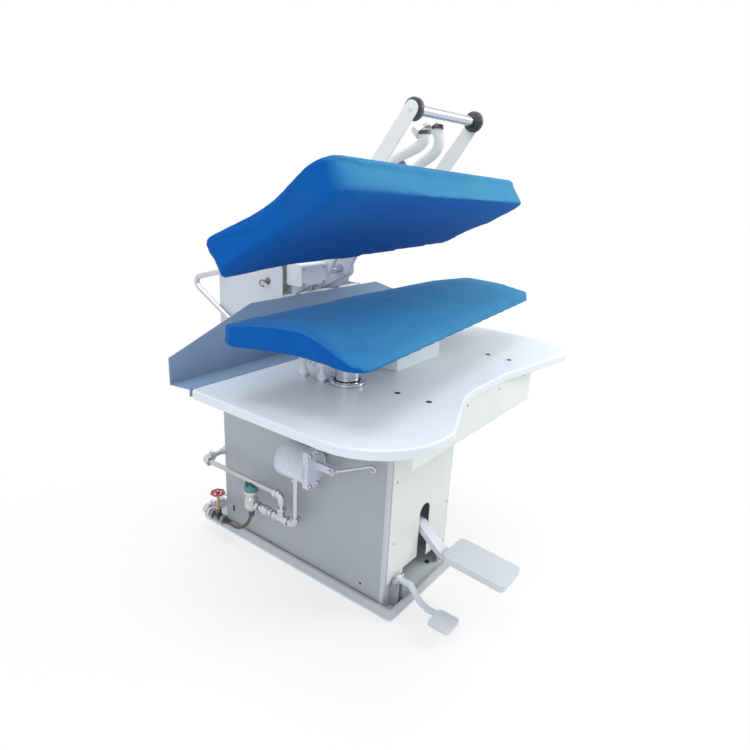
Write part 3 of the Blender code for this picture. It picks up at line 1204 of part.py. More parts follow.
cut(steam_valve, rod("ear_bore", valve_pivot, "X", bore(VALVE_PIN_RADIUS, PIN_STEPS, RUNNING_GAP),
                     -2 * ear_outer, 2 * ear_outer, CABINET_GREY, PIN_STEPS))
lever_route = filleted([valve_pivot, (lever_x, *VALVE_LEVER_KNEE), VALVE_LEVER_END],
                       VALVE_LEVER_BEND, 3)
valve_lever = sweep("steam_valve_lever", [(place, VALVE_LEVER_RADIUS) for place in lever_route],
                    BRIGHT_STEEL)
hook = [Vector(VALVE_LEVER_END) + Vector(step) for step in VALVE_HOOK_STEPS]
join(valve_lever,
     rod("valve_lever_boss", valve_pivot, "X", VALVE_BOSS_RADIUS, GAP - EAR_INNER,
         EAR_INNER - GAP, BRIGHT_STEEL, 12),
     rod("valve_lever_pin", valve_pivot, "X", VALVE_PIN_RADIUS, -1.3 * ear_outer, 1.3 * ear_outer,
         BRIGHT_STEEL, PIN_STEPS),
     sweep("valve_lever_hook", [(place, VALVE_LEVER_RADIUS * 0.8) for place in smooth_path(hook, 3)],
           BRIGHT_STEEL, 8))

# Steam pipes on the left side
leg = BEND_RADIUS * 1.5
riser = [(valve_x, RISER_Y, VALVE_Z - VALVE_RADIUS - GAP), (valve_x, RISER_Y, CHAIN_Z),
         (valve_x, SUPPLY_FRONT_Y - TEE_HALF - GAP, CHAIN_Z)]
sweep("steam_riser_pipe", piped(riser, PIPE_RADIUS, FITTING_RADIUS, BEND_RADIUS, leg), BRIGHT_STEEL)
supply = [(valve_x, SUPPLY_FRONT_Y, CHAIN_Z + TEE_HALF + GAP), (valve_x, SUPPLY_FRONT_Y, SUPPLY_Z),
          (valve_x, SUPPLY_REAR_Y, SUPPLY_Z), (SUPPLY_INLET_X, SUPPLY_REAR_Y, SUPPLY_Z),
          (SUPPLY_INLET_X, CABINET_REAR + GAP, SUPPLY_Z)]
sweep("steam_supply_pipe", piped(supply, PIPE_RADIUS, FITTING_RADIUS, BEND_RADIUS, leg), BRIGHT_STEEL)
chain_low = SUPPLY_FRONT_Y - TEE_HALF
chain_high = TRAP_Y - TRAP_RADIUS - GAP
chain_length = chain_high - chain_low
pipe_tee = sweep("pipe_tee", [((valve_x, chain_low + share * chain_length, CHAIN_Z), radius)
                              for share, radius in CHAIN_SHARES], BRIGHT_STEEL, 8)
join(pipe_tee, rod("tee_branch", (valve_x, SUPPLY_FRONT_Y, CHAIN_Z), "Z", TEE_BRANCH_RADIUS, 0,
                   TEE_HALF, BRIGHT_STEEL, 12))

# Steam trap with its cap
trap_height = TRAP_TOP - TRAP_BOTTOM
turned("steam_trap", [(0, TRAP_BOTTOM)] + [
    (radius * TRAP_RADIUS, TRAP_BOTTOM + share * trap_height) for radius, share in TRAP_SHARES] + [
    (0, TRAP_TOP)], (valve_x, TRAP_Y, 0), "Z", CAST_ALUMINIUM, 16)
cap_low = TRAP_TOP + GAP
turned("steam_trap_cap", [
    (0, cap_low), (TRAP_RADIUS * 1.05, cap_low), (TRAP_RADIUS * 1.05, TRAP_CAP_TOP - SHEET * 2),
    (TRAP_RADIUS * 0.6, TRAP_CAP_TOP), (0, TRAP_CAP_TOP)], (valve_x, TRAP_Y, 0), "Z", TEAL_PAINT, 16)

# Stop valve with its stem and handwheel, and the outlet pipe behind it
stop_half = STOP_LENGTH / 2
stop_valve = sweep("stop_valve", [((valve_x, STOP_Y + share * stop_half, STOP_Z), radius * STOP_RADIUS)
                                  for share, radius in STOP_SHARES], DARK_IRON, 8)
join(stop_valve, rod("stop_bonnet", (valve_x, STOP_Y, 0), "Z", STOP_RADIUS * 0.7, STOP_Z, BONNET_TOP,
                     DARK_IRON, 12))
hub_low = WHEEL_Z - 2 * WHEEL_TUBE
rod("stop_valve_stem", (valve_x, STOP_Y, 0), "Z", STEM_RADIUS, BONNET_TOP + GAP, hub_low - GAP, BRASS, 12)
handwheel = torus("stop_valve_handwheel", (valve_x, STOP_Y, WHEEL_Z), WHEEL_RADIUS - WHEEL_TUBE,
                  WHEEL_TUBE, RED_PAINT)
spokes = []
for name, reach in (("spoke_along", Vector((0, 1, 0))), ("spoke_across", Vector((1, 0, 0)))):
    centre = Vector((valve_x, STOP_Y, WHEEL_Z))
    span = reach * (WHEEL_RADIUS - WHEEL_TUBE)
    spokes.append(bar_between(name, centre - span, centre + span, WHEEL_TUBE * 0.7, RED_PAINT, 8))
join(handwheel, rod("wheel_hub", (valve_x, STOP_Y, 0), "Z", WHEEL_TUBE * 1.6, hub_low,
                    WHEEL_Z + WHEEL_TUBE, RED_PAINT, 12), *spokes)
outlet_y = SUPPLY_REAR_Y + BEND_RADIUS
outlet = [(valve_x, STOP_Y + stop_half + GAP, STOP_Z), (valve_x, outlet_y, STOP_Z),
          (SUPPLY_INLET_X, outlet_y, STOP_Z), (SUPPLY_INLET_X, CABINET_REAR + GAP, STOP_Z)]
sweep("outlet_pipe", piped(outlet, PIPE_RADIUS, FITTING_RADIUS, BEND_RADIUS, leg), BRIGHT_STEEL)

# Drain hose from under the trap to the stop valve
hose_start = Vector((valve_x, TRAP_Y, TRAP_BOTTOM - GAP))
hose_end = Vector((valve_x, STOP_Y - stop_half - GAP, STOP_Z))
drain_knots = [(hose_start.x - x, y, z) for x, y, z in DRAIN_KNOTS]
drain_route = [hose_start] + smooth_path([hose_start - Vector((0, 0, HOSE_STUB)), *drain_knots,
                                          hose_end - Vector((0, HOSE_STUB, 0))], 5) + [hose_end]
sweep("drain_hose", [(place, DRAIN_RADIUS) for place in drain_route], BROWN_HOSE)

# Guard tubes on both sides of the column
guard_x = half_cabinet + GUARD_RADIUS + GAP
for side, word in ((-1, "left"), (1, "right")):
    route = filleted([(side * guard_x, *GUARD_LOW), (side * guard_x, *GUARD_BACK),
                      (side * guard_x, *GUARD_HIGH)], GUARD_BEND)
    sweep("guard_tube_" + word, [(place, GUARD_RADIUS) for place in route], BRIGHT_STEEL)
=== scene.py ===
"""Dressed look of the utility laundry press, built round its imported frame.

Metres, in the same frame as the part: +Z up, the operator stands at -Y, +X to the machine's
right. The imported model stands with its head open.
"""
import json
import math

import bmesh
import bpy
import numpy as np
from mathutils import Matrix, Vector
from mathutils.bvhtree import BVHTree

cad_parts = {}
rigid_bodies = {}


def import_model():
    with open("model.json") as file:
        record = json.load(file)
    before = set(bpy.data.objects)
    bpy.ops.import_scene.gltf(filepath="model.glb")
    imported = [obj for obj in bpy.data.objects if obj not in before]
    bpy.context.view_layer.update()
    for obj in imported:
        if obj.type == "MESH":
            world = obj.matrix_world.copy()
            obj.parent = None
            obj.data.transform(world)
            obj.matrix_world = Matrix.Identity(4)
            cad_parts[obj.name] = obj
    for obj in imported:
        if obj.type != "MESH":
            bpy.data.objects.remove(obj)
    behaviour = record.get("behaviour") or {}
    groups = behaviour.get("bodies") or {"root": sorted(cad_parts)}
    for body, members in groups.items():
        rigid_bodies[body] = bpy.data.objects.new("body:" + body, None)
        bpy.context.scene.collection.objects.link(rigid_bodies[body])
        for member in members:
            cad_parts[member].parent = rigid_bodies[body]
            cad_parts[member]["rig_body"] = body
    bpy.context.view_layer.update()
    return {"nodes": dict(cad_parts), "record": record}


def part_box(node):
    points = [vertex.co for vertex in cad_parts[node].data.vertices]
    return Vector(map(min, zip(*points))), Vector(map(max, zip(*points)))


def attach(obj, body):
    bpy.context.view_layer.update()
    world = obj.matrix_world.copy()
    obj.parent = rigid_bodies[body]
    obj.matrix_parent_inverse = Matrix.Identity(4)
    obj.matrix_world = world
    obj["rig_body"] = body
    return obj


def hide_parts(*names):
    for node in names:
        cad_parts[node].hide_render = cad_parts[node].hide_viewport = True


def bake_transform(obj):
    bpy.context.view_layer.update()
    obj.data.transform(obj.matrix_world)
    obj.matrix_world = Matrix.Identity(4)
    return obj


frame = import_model()
scene = bpy.context.scene
nodes = frame["nodes"]
slots = {part["node"]: part["material_slot"] for part in frame["record"]["subparts"]}

# Where the joints are and how far the head stands open
HINGE = Vector((0.0, 0.005, 1.047))
HEAD_OPEN = math.radians(34.5)
HEAD_TURN = (Matrix.Translation(HINGE) @ Matrix.Rotation(-HEAD_OPEN, 4, "X")
             @ Matrix.Translation(-HINGE))
# The gap between faces that are screwed together
GAP = 0.0003
UPRIGHT = Matrix.Identity(4)
LEFT, RIGHT, FRONT, BACK, UP = (-1, 0, 0), (1, 0, 0), (0, -1, 0), (0, 1, 0), (0, 0, 1)


# Materials
def node_in(tree, kind, **sockets):
    """A new node whose sockets get values, or links from other sockets."""
    node = tree.nodes.new(kind)
    for name, value in sockets.items():
        socket = node.inputs[name.replace("_", " ")]
        if isinstance(value, bpy.types.NodeSocket):
            tree.links.new(value, socket)
        else:
            socket.default_value = value
    return node


class Look:
    """One node material, built step by step."""

    def __init__(self, name, colour, roughness, metallic=0.0):
        self.made = bpy.data.materials.new(name)
        self.made.use_nodes = True
        self.tree = self.made.node_tree
        self.shader = self.tree.nodes["Principled BSDF"]
        self.shader.inputs["Base Color"].default_value = (*colour, 1.0)
        self.shader.inputs["Roughness"].default_value = roughness
        self.shader.inputs["Metallic"].default_value = metallic
        self.colour = colour
        self.roughness = roughness
        self.place = node_in(self.tree, "ShaderNodeTexCoord").outputs["Object"]
        self.tint = None
        self.normal = None

    def link(self, output, socket):
        self.tree.links.new(output, socket)

    def stretched(self, scale):
        """Object coordinates scaled along each axis."""
        return node_in(self.tree, "ShaderNodeMapping", Scale=scale,
                       Vector=self.place).outputs["Vector"]

    def noise(self, scale, detail=3.0, rough=0.5, vector=None, distortion=0.0):
        """A noise value."""
        return node_in(self.tree, "ShaderNodeTexNoise", Scale=scale, Detail=detail, Roughness=rough,
                       Distortion=distortion, Vector=vector or self.place).outputs["Fac"]

    def wave(self, scale, direction, distortion):
        """Bands along one axis."""
        node = node_in(self.tree, "ShaderNodeTexWave", Scale=scale, Distortion=distortion,
                       Detail=1.0, Detail_Scale=2.0, Vector=self.place)
        node.bands_direction = direction
        return node.outputs["Fac"]

    def along(self, vector, direction):
        """How far a vector reaches along a direction."""
        node = node_in(self.tree, "ShaderNodeVectorMath")
        node.operation = "DOT_PRODUCT"
        node.inputs[1].default_value = direction
        self.link(vector, node.inputs[0])
        return node.outputs["Value"]

    def spread(self, value, low, high, to_low=0.0, to_high=1.0):
        """Map a value's range onto another one."""
        return node_in(self.tree, "ShaderNodeMapRange", From_Min=low, From_Max=high, To_Min=to_low,
                       To_Max=to_high, Value=value).outputs["Result"]

    def math(self, operation, first, second):
        """A sum or product of two values."""
        node = node_in(self.tree, "ShaderNodeMath")
        node.operation = operation
        for socket, value in zip(node.inputs, (first, second)):
            if isinstance(value, float):
                socket.default_value = value
            else:
                self.link(value, socket)
        return node.outputs["Value"]

    def paint(self, colour, share):
        """Mix a colour in where share is high."""
        node = node_in(self.tree, "ShaderNodeMix")
        node.data_type = "RGBA"
        first, second = node.inputs[6], node.inputs[7]
        if self.tint is None:
            first.default_value = (*self.colour, 1.0)
        else:
            self.link(self.tint, first)
        second.default_value = (*colour, 1.0)
        self.link(share, node.inputs[0])
        self.tint = node.outputs[2]
        self.link(self.tint, self.shader.inputs["Base Color"])

    def vary_roughness(self, value, spread):
        """Let the roughness follow a value round its middle."""
        low, high = self.roughness - spread, self.roughness + spread
        self.link(self.spread(value, 0.3, 0.7, max(low, 0.02), min(high, 1.0)),
                  self.shader.inputs["Roughness"])

    def bump(self, height, strength, distance):
        """Add a bump on top of any earlier one."""
        node = node_in(self.tree, "ShaderNodeBump", Strength=strength, Distance=distance,
                       Height=height)
        if self.normal is not None:
            self.link(self.normal, node.inputs["Normal"])
        self.normal = node.outputs["Normal"]
        self.link(self.normal, self.shader.inputs["Normal"])

    def edges(self):
        """High on outer edges, where they wear."""
        return node_in(self.tree, "ShaderNodeNewGeometry").outputs["Pointiness"]

    def set(self, **values):
        """Set sockets by name, with spaces written as underscores."""
        for name, value in values.items():
            self.shader.inputs[name.replace("_", " ")].default_value = value


def darker(colour, share):
    """A colour scaled down."""
    return tuple(channel * share for channel in colour)


def lighter(colour, share):
    """A colour moved towards white."""
    return tuple(channel + (1.0 - channel) * share for channel in colour)


def enamel(name, colour, roughness=0.38, peel=0.10, grime=0.3, wear_and_painted_light=None, above=None):
    """Sprayed enamel: orange peel, faint clouding, a little grime and chipped edges.

    A second colour may start above a height.
    """
    look = Look(name, colour, roughness)
    clouds = look.noise(2.2, 4.0, 0.6)
    look.paint(darker(colour, 0.90), look.spread(clouds, 0.45, 0.75, 0.0, 0.5))
    smudge = look.noise(5.0, 3.0, 0.5, distortion=0.6)
    look.paint(darker(colour, 0.72), look.spread(smudge, 0.58, 0.92, 0.0, grime))
    if above is not None:
        height, second = above
        level = node_in(look.tree, "ShaderNodeSeparateXYZ", Vector=look.place)
        look.paint(second, look.spread(level.outputs["Z"], height, height + 0.001))
    chips = look.math("MULTIPLY", look.spread(look.edges(), 0.55, 0.62, 0.0, 0.6),
                      look.spread(look.noise(38.0, 6.0, 0.7), 0.56, 0.68))
    look.paint(wear_and_painted_light or lighter(colour, 0.45), chips)
    look.vary_roughness(look.noise(14.0, 5.0, 0.6), 0.09)
    look.bump(look.noise(420.0, 2.0, 0.5), peel, 0.0006)
    look.set(Coat_Weight=0.18, Coat_Roughness=0.22, Specular_IOR_Level=0.45)
    return look.made


def laminate(name, colour, roughness):
    """A smooth painted or laminated board: faint clouding, a fine speckle and no chips."""
    look = Look(name, colour, roughness)
    clouds = look.noise(2.2, 4.0, 0.6)
    look.paint(darker(colour, 0.92), look.spread(clouds, 0.40, 0.80, 0.0, 0.5))
    speckle = look.noise(700.0, 2.0, 0.5)
    look.paint(lighter(colour, 0.30), look.spread(speckle, 0.50, 0.80, 0.0, 0.15))
    look.vary_roughness(look.noise(5.0, 2.0, 0.5), 0.05)
    look.bump(look.noise(420.0, 2.0, 0.5), 0.04, 0.0006)
    look.set(Coat_Weight=0.18, Coat_Roughness=0.22, Specular_IOR_Level=0.45)
    return look.made


def bare_metal(name, colour, roughness, grain=0.12, dull=0.35):
    """Plated or turned steel: faint brushing, dull spots and recesses painted darker as painted
    shade.
    """
    look = Look(name, colour, roughness, 1.0)
    look.paint(darker(colour, 0.55), look.spread(look.noise(18.0, 7.0, 0.7), 0.52, 0.78, 0.0, dull))
    # Painted shade: recesses, where pointiness is low, are darker
    look.paint(darker(colour, 0.40), look.spread(look.edges(), 0.49, 0.44, 0.0, 0.6))
    brushed = look.noise(90.0, 3.0, 0.6, look.stretched((1.0, 12.0, 12.0)))
    look.vary_roughness(brushed, 0.08)
    look.bump(brushed, grain, 0.0003)
    return look.made


def cast_metal(name, colour, roughness, metallic):
    """Sand cast metal: pitted and cloudy."""
    look = Look(name, colour, roughness, metallic)
    look.paint(darker(colour, 0.6), look.spread(look.noise(25.0, 8.0, 0.7), 0.5, 0.75, 0.0, 0.6))
    look.paint(lighter(colour, 0.35), look.spread(look.edges(), 0.53, 0.60, 0.0, 0.7))
    look.vary_roughness(look.noise(60.0, 4.0, 0.6), 0.1)
    look.bump(look.noise(240.0, 5.0, 0.65), 0.35, 0.0012)
    return look.made


def woven(name, colour, light, deep, painted_light_colour, painted_light_facing):
    """A polyester cover: a fine plain weave, slubs, faint clouding and a soft sheen.

    Its colour is painted lighter, as painted light, on the faces that look up and forward,
    and more so towards the right end, where the lamps light it most.
    """
    look = Look(name, colour, 0.82)
    # Painted light: a lighter colour on faces that look up and forward, and towards the right end
    facing = look.along(look.place.node.outputs["Normal"], painted_light_facing)
    wear_and_painted_light = look.math("ADD", facing, look.along(look.place, (0.40, 0.0, 0.0)))
    look.paint(painted_light_colour, look.math("MULTIPLY", look.spread(wear_and_painted_light, 0.15, 0.95),
                                look.spread(look.noise(4.0, 4.0, 0.6), 0.30, 0.65, 0.75, 1.0)))
    look.paint(light, look.spread(look.noise(3.0, 4.0, 0.6), 0.45, 0.75, 0.0, 0.25))
    look.paint(deep, look.spread(look.noise(5.5, 5.0, 0.6, distortion=0.5), 0.55, 0.80, 0.0, 0.35))
    threads = 210.0
    warp, weft, rise = (look.wave(threads, axis, 0.6) for axis in "XYZ")
    weave = look.math("ADD", look.math("MULTIPLY", warp, weft), look.math("MULTIPLY", rise, 0.5))
    look.paint(deep, look.spread(weave, 0.55, 0.0, 0.0, 0.22))
    look.paint(light, look.spread(look.noise(160.0, 3.0, 0.6, look.stretched((0.15, 1.0, 1.0))),
                                  0.62, 0.80, 0.0, 0.25))
    look.vary_roughness(look.noise(30.0, 4.0, 0.6), 0.07)
    look.bump(look.noise(11.0, 3.0, 0.5), 0.18, 0.006)
    look.bump(weave, 0.22, 0.0008)
    look.set(Sheen_Weight=0.06, Sheen_Roughness=0.50, Specular_IOR_Level=0.10)
    look.shader.inputs["Sheen Tint"].default_value = (0.50, 0.90, 1.0, 1.0)
    return look.made


def rubber(name, colour, roughness):
    """Moulded rubber or silicone with dust on it."""
    look = Look(name, colour, roughness)
    look.paint(lighter(colour, 0.18), look.spread(look.noise(22.0, 6.0, 0.7), 0.5, 0.8, 0.0, 0.6))
    look.paint(darker(colour, 0.7), look.spread(look.noise(6.0, 5.0, 0.6), 0.55, 0.8, 0.0, 0.5))
    look.vary_roughness(look.noise(40.0, 3.0, 0.6), 0.08)
    look.bump(look.noise(520.0, 3.0, 0.6), 0.15, 0.0005)
    return look.made


# Heights above which the column has a colour of its own, and the tray's rim is painted darker as
# painted shade
PALE_FROM, RIM_SHADE_FROM = 0.80, 0.0085
LOOKS = {
    "cabinet_grey": enamel("cabinet_enamel", (0.392, 0.416, 0.446), 0.42,
                           above=(PALE_FROM, (0.620, 0.650, 0.705))),
    "cream_white": enamel("cream_enamel", (0.735, 0.765, 0.715), 0.40, grime=0.16),
    "table_white": laminate("table_laminate", (0.725, 0.775, 0.83), 0.34),
    "trough_blue": laminate("trough_enamel", (0.215, 0.315, 0.45), 0.45),
    "pedal_grey": enamel("pedal_enamel", (0.63, 0.66, 0.71), 0.40, grime=0.20,
                         wear_and_painted_light=(0.45, 0.46, 0.48)),
    # The cover's fourth colour is painted light, on faces that look up and forward and towards the
    # right
    "cover_blue": woven("woven_cover", (0.001, 0.094, 0.385), (0.005, 0.150, 0.430),
                        (0.001, 0.060, 0.330), (0.054, 0.275, 0.440), (0.33, -0.66, 0.67)),
    "cast_aluminium": cast_metal("cast_aluminium", (0.55, 0.56, 0.58), 0.48, 0.75),
    "bright_steel": bare_metal("galvanised_steel", (0.60, 0.61, 0.65), 0.32),
    "chrome": bare_metal("chrome_plate", (0.58, 0.60, 0.66), 0.13, grain=0.03, dull=0.12),
    "black_rubber": rubber("black_rubber", (0.028, 0.030, 0.038), 0.55),
    "white_hose": rubber("white_hose", (0.74, 0.75, 0.76), 0.50),
    "brass": bare_metal("turned_brass", (0.50, 0.37, 0.20), 0.40, dull=0.6),
    "red_paint": enamel("red_enamel", (0.42, 0.060, 0.050), 0.42, wear_and_painted_light=(0.25, 0.2, 0.2)),
    "teal_paint": enamel("teal_enamel", (0.06, 0.24, 0.26), 0.45, wear_and_painted_light=(0.3, 0.3, 0.3)),
    "dark_iron": cast_metal("dark_iron", (0.045, 0.045, 0.052), 0.55, 0.4),
    "brown_hose": rubber("brown_hose", (0.11, 0.070, 0.055), 0.6),
}
DARK_BOLT = bare_metal("dark_bolt", (0.10, 0.10, 0.115), 0.45)
HOOK_STEEL = bare_metal("hook_steel", (0.26, 0.26, 0.28), 0.42)
ZINC_BOLT = bare_metal("zinc_bolt", (0.55, 0.56, 0.58), 0.34)
ARM_WHITE = enamel("arm_enamel", (0.79, 0.785, 0.775), 0.40, grime=0.12)
VALVE_ENAMEL = enamel("valve_enamel", (0.62, 0.64, 0.74), 0.24, peel=0.12, grime=0.30)
POST_PALE = enamel("post_enamel", (0.54, 0.56, 0.60), 0.40, grime=0.20)
PEDESTAL_PALE = enamel("pedestal_enamel", (0.86, 0.95, 0.98), 0.36, grime=0.10)
BRACKET_GREY = enamel("bracket_enamel", (0.34, 0.35, 0.41), 0.50)
# Painted light and shade: the tray's floor is painted lighter where the cabinet shades it, and its
# rim darker where the lamps light it
TRAY_PAINTED_LIGHT = enamel("tray_painted_light", (0.72, 0.80, 0.82), 0.45, above=(RIM_SHADE_FROM, (0.52, 0.54, 0.57)))
HINGE_WHITE = enamel("hinge_enamel", (0.80, 0.81, 0.87), 0.42, grime=0.25)
UNION_WHITE = enamel("union_enamel", (0.92, 0.92, 0.96), 0.32, grime=0.10)
NODE_LOOKS = {
    "hinge_bearing_left": HINGE_WHITE, "hinge_bearing_right": HINGE_WHITE, "head_yoke": HINGE_WHITE,
    "buck_union_front": UNION_WHITE, "buck_union_rear": UNION_WHITE,
    "pedestal_box": PEDESTAL_PALE, "small_pedal_bracket": BRACKET_GREY, "base_tray": TRAY_PAINTED_LIGHT,
    "handle_arm_left": ARM_WHITE, "handle_arm_right": ARM_WHITE, "steam_valve": VALVE_ENAMEL,
    "corner_post_left": POST_PALE, "corner_post_right": POST_PALE}


# Mesh helpers
def shaped(name, bm, look, sharp):
    """Turn a bmesh into an object whose edges are crisp from an angle on."""
    bmesh.ops.recalc_face_normals(bm, faces=bm.faces)
    mesh = bpy.data.meshes.new(name)
    bm.to_mesh(mesh)
    bm.free()
    mesh.materials.append(look)
    mesh.shade_smooth()
    mesh.set_sharp_from_angle(angle=math.radians(sharp))
    piece = bpy.data.objects.new(name, mesh)
    scene.collection.objects.link(piece)
    return piece


def made_of(name, bm, body, slot, look=None, sharp=35.0):
    """Turn a bmesh into a piece that rides on a body, in the slot's look or its own."""
    piece = shaped(name, bm, look or LOOKS[slot], sharp)
    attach(piece, body)
    return piece


def applied(piece):
    """Bake a piece's modifiers into its mesh."""
    graph = bpy.context.evaluated_depsgraph_get()
    mesh = bpy.data.meshes.new_from_object(piece.evaluated_get(graph))
    piece.modifiers.clear()
    piece.data = mesh
    return piece


def axis_turn(axis):
    """The rotation that carries +Z onto a direction."""
    return Vector(axis).to_track_quat("Z", "Y").to_matrix().to_4x4()


def around(centre, radius, angle):
    """A point on a level circle."""
    return (centre[0] + radius * math.cos(angle), centre[1] + radius * math.sin(angle), centre[2])


def bridge(bm, lower, upper):
    """Join two rings of points with faces; either may be a single point."""
    steps = max(len(lower), len(upper))
    for step in range(steps):
        after = (step + 1) % steps
        if len(lower) == 1:
            bm.faces.new((lower[0], upper[step], upper[after]))
        elif len(upper) == 1:
            bm.faces.new((lower[step], lower[after], upper[0]))
        else:
            bm.faces.new((lower[step], lower[after], upper[after], upper[step]))


def lathe(bm, profile, centre, axis=UP, steps=24):
    """Add a turned shape from (radius, along) points; both ends lie on the axis."""
    matrix = Matrix.Translation(centre) @ axis_turn(axis)
    turns = [2 * math.pi * step / steps for step in range(steps)]
    rings = [[bm.verts.new(matrix @ Vector(around((0, 0, along), radius, turn)))
              for turn in (turns if radius > 0.0 else turns[:1])] for radius, along in profile]
    for lower, upper in zip(rings, rings[1:]):
        bridge(bm, lower, upper)


def hex_head(bm, centre, axis, flats, height, washer=True):
    """Add a chamfered hexagon head, on a washer, standing on centre along axis."""
    base = 0.0
    if washer:
        base = flats * 0.11
        lathe(bm, [(0, -GAP), (flats * 0.78, -GAP), (flats * 0.78, base * 0.7),
                   (flats * 0.70, base), (0, base)], centre, axis)
    corner = flats / 2 / math.cos(math.pi / 6)
    lathe(bm, [(0, base), (corner, base), (corner, base + height * 0.8),
               (corner * 0.86, base + height), (0, base + height)], centre, axis, 6)


def pan_head(bm, centre, axis, radius, height):
    """Add a domed screw head with a recess in the middle."""
    lathe(bm, [(0, -GAP), (radius, -GAP), (radius, height * 0.35), (radius * 0.86, height * 0.75),
               (radius * 0.5, height), (radius * 0.38, height), (radius * 0.3, height * 0.45),
               (0, height * 0.4)], centre, axis, 20)


def tube(bm, points, radius, sides=12, closed=False):
    """Add a round tube along points."""
    places = [Vector(point) for point in points]
    count = len(places)
    rings = []
    side = None
    for index, place in enumerate(places):
        ahead = places[(index + 1) % count] if closed else places[min(index + 1, count - 1)]
        behind = places[index - 1] if closed or index else place
        along = (ahead - behind).normalized()
        if side is None:
            side = along.orthogonal().normalized()
        side = (side - along * side.dot(along)).normalized()
        up = along.cross(side)
        rings.append([bm.verts.new(place + (side * math.cos(2 * math.pi * step / sides)
                                            + up * math.sin(2 * math.pi * step / sides)) * radius)
                      for step in range(sides)])
    pairs = list(zip(rings, rings[1:]))
    if closed:
        offset = min(range(sides), key=lambda turn: (rings[0][turn].co - rings[-1][0].co).length)
        pairs.append((rings[-1], rings[0][offset:] + rings[0][:offset]))
    for lower, upper in pairs:
        bridge(bm, lower, upper)
    if not closed:
        bm.faces.new(rings[0])
        bm.faces.new(rings[-1])


def curve_through(points, per_span=8):
    """A smooth line through the points."""
    ends = [Vector(points[0]) * 2 - Vector(points[1])]
    ends += [Vector(point) for point in points]
    ends += [Vector(points[-1]) * 2 - Vector(points[-2])]
    line = []
    for a, b, c, d in zip(ends, ends[1:], ends[2:], ends[3:]):
        for step in range(per_span):
            t = step / per_span
            line.append(0.5 * (2 * b + (c - a) * t + (2 * a - 5 * b + 4 * c - d) * t * t
                               + (3 * b - a - 3 * c + d) * t ** 3))
    line.append(Vector(points[-1]))
    return line


def rounded_box(bm, low, high, radius):
    """Add a block with bevelled edges."""
    made = bmesh.ops.create_cube(bm, size=1.0)
    centre = (Vector(low) + Vector(high)) / 2
    size = Vector(high) - Vector(low)
    for vert in made["verts"]:
        vert.co = Vector((vert.co.x * size.x, vert.co.y * size.y, vert.co.z * size.z)) + centre
    edges = list({edge for vert in made["verts"] for edge in vert.link_edges})
    bmesh.ops.bevel(bm, geom=edges, offset=min(radius, min(size) / 3), segments=2, affect="EDGES",
                    profile=0.5)


# Points nearer to each other than this are one
WELD = 0.000002


def welded(node):
    """A node's mesh with its split corners joined and its flat faces merged."""
    bm = bmesh.new()
    bm.from_mesh(nodes[node].data)
    bmesh.ops.remove_doubles(bm, verts=bm.verts, dist=WELD)
    bmesh.ops.dissolve_limit(bm, angle_limit=math.radians(0.4), verts=bm.verts, edges=bm.edges)
    return bm


def look_of(node):
    """The material that a node's piece carries."""
    return NODE_LOOKS.get(node, LOOKS[slots[node]])


def finished(node, width):
    """Stand for a rigid node with the same shape whose edges are eased."""
    piece = made_of(node + "_finished", welded(node), nodes[node]["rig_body"], slots[node],
                    look_of(node))
    bevel = piece.modifiers.new("ease", "BEVEL")
    bevel.width = width
    bevel.segments = 2
    bevel.limit_method = "ANGLE"
    bevel.angle_limit = math.radians(32.0)
    bevel.harden_normals = False
    applied(piece)
    piece.data.shade_smooth()
    piece.data.set_sharp_from_angle(angle=math.radians(50.0))
    weighted = piece.modifiers.new("weighted", "WEIGHTED_NORMAL")
    weighted.keep_sharp = True
    applied(piece)
    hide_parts(node)


# Every carried-over node gets its procedural material
for name, node in nodes.items():
    node.data.materials.clear()
    node.data.materials.append(look_of(name))
    node.data.shade_smooth()
    node.data.set_sharp_from_angle(angle=math.radians(35.0))

# Rigid sheet metal and castings with eased edges
EASED = {
    "base_tray": 0.0012, "side_panel_left": 0.0008, "side_panel_right": 0.0008,
    "corner_post_left": 0.0010, "corner_post_right": 0.0010, "front_panel": 0.0008,
    "rear_panel": 0.0008, "column_top_cover": 0.0008, "table_frame": 0.0015,
    "work_table": 0.0012, "front_apron": 0.0015, "laundry_trough": 0.0008,
    "pedestal_box": 0.0010, "hinge_beam": 0.0020, "hinge_bearing_left": 0.0020,
    "hinge_bearing_right": 0.0020, "spring_anchor_bar": 0.0015, "pedal_bearing_left": 0.0015,
    "pedal_bearing_right": 0.0015, "small_pedal_bracket": 0.0010, "steam_valve": 0.0025,
    "head_chest": 0.0015, "buck_chest": 0.0015, "handle_arm_left": 0.0010,
    "handle_arm_right": 0.0010, "main_pedal_lever": 0.0015, "main_pedal_pad": 0.0008,
    "small_pedal": 0.0012, "head_yoke": 0.0025, "vacuum_duct": 0.0010,
    "steam_trap_cap": 0.0012,
}
for name, width in EASED.items():
    finished(name, width)


# Padded covers, swollen by a cloth simulation
VOXEL = 0.0065
SHRUNK_BY = 0.0035
FURTHEST = 0.0045
SWELL_FRAMES = 20
# How far a cover may stand off its solid on its faces, and how much further on its sides
PROUD_FACE, PROUD_SIDE = 0.0005, 0.0020
# A cover is held nearer to the chest, or to its rim's level, than this, and is free beyond a band
NEAR_CHEST, NEAR_RIM, EDGE_BAND = 0.0045, 0.004, 0.02
# The levels of the two rims, with the head closed
BUCK_RIM, HEAD_RIM = 0.9405, 1.078


def tree_of(node):
    """A search tree over a node's surface."""
    mesh = nodes[node].data
    return BVHTree.FromPolygons([vert.co for vert in mesh.vertices],
                                [poly.vertices for poly in mesh.polygons])


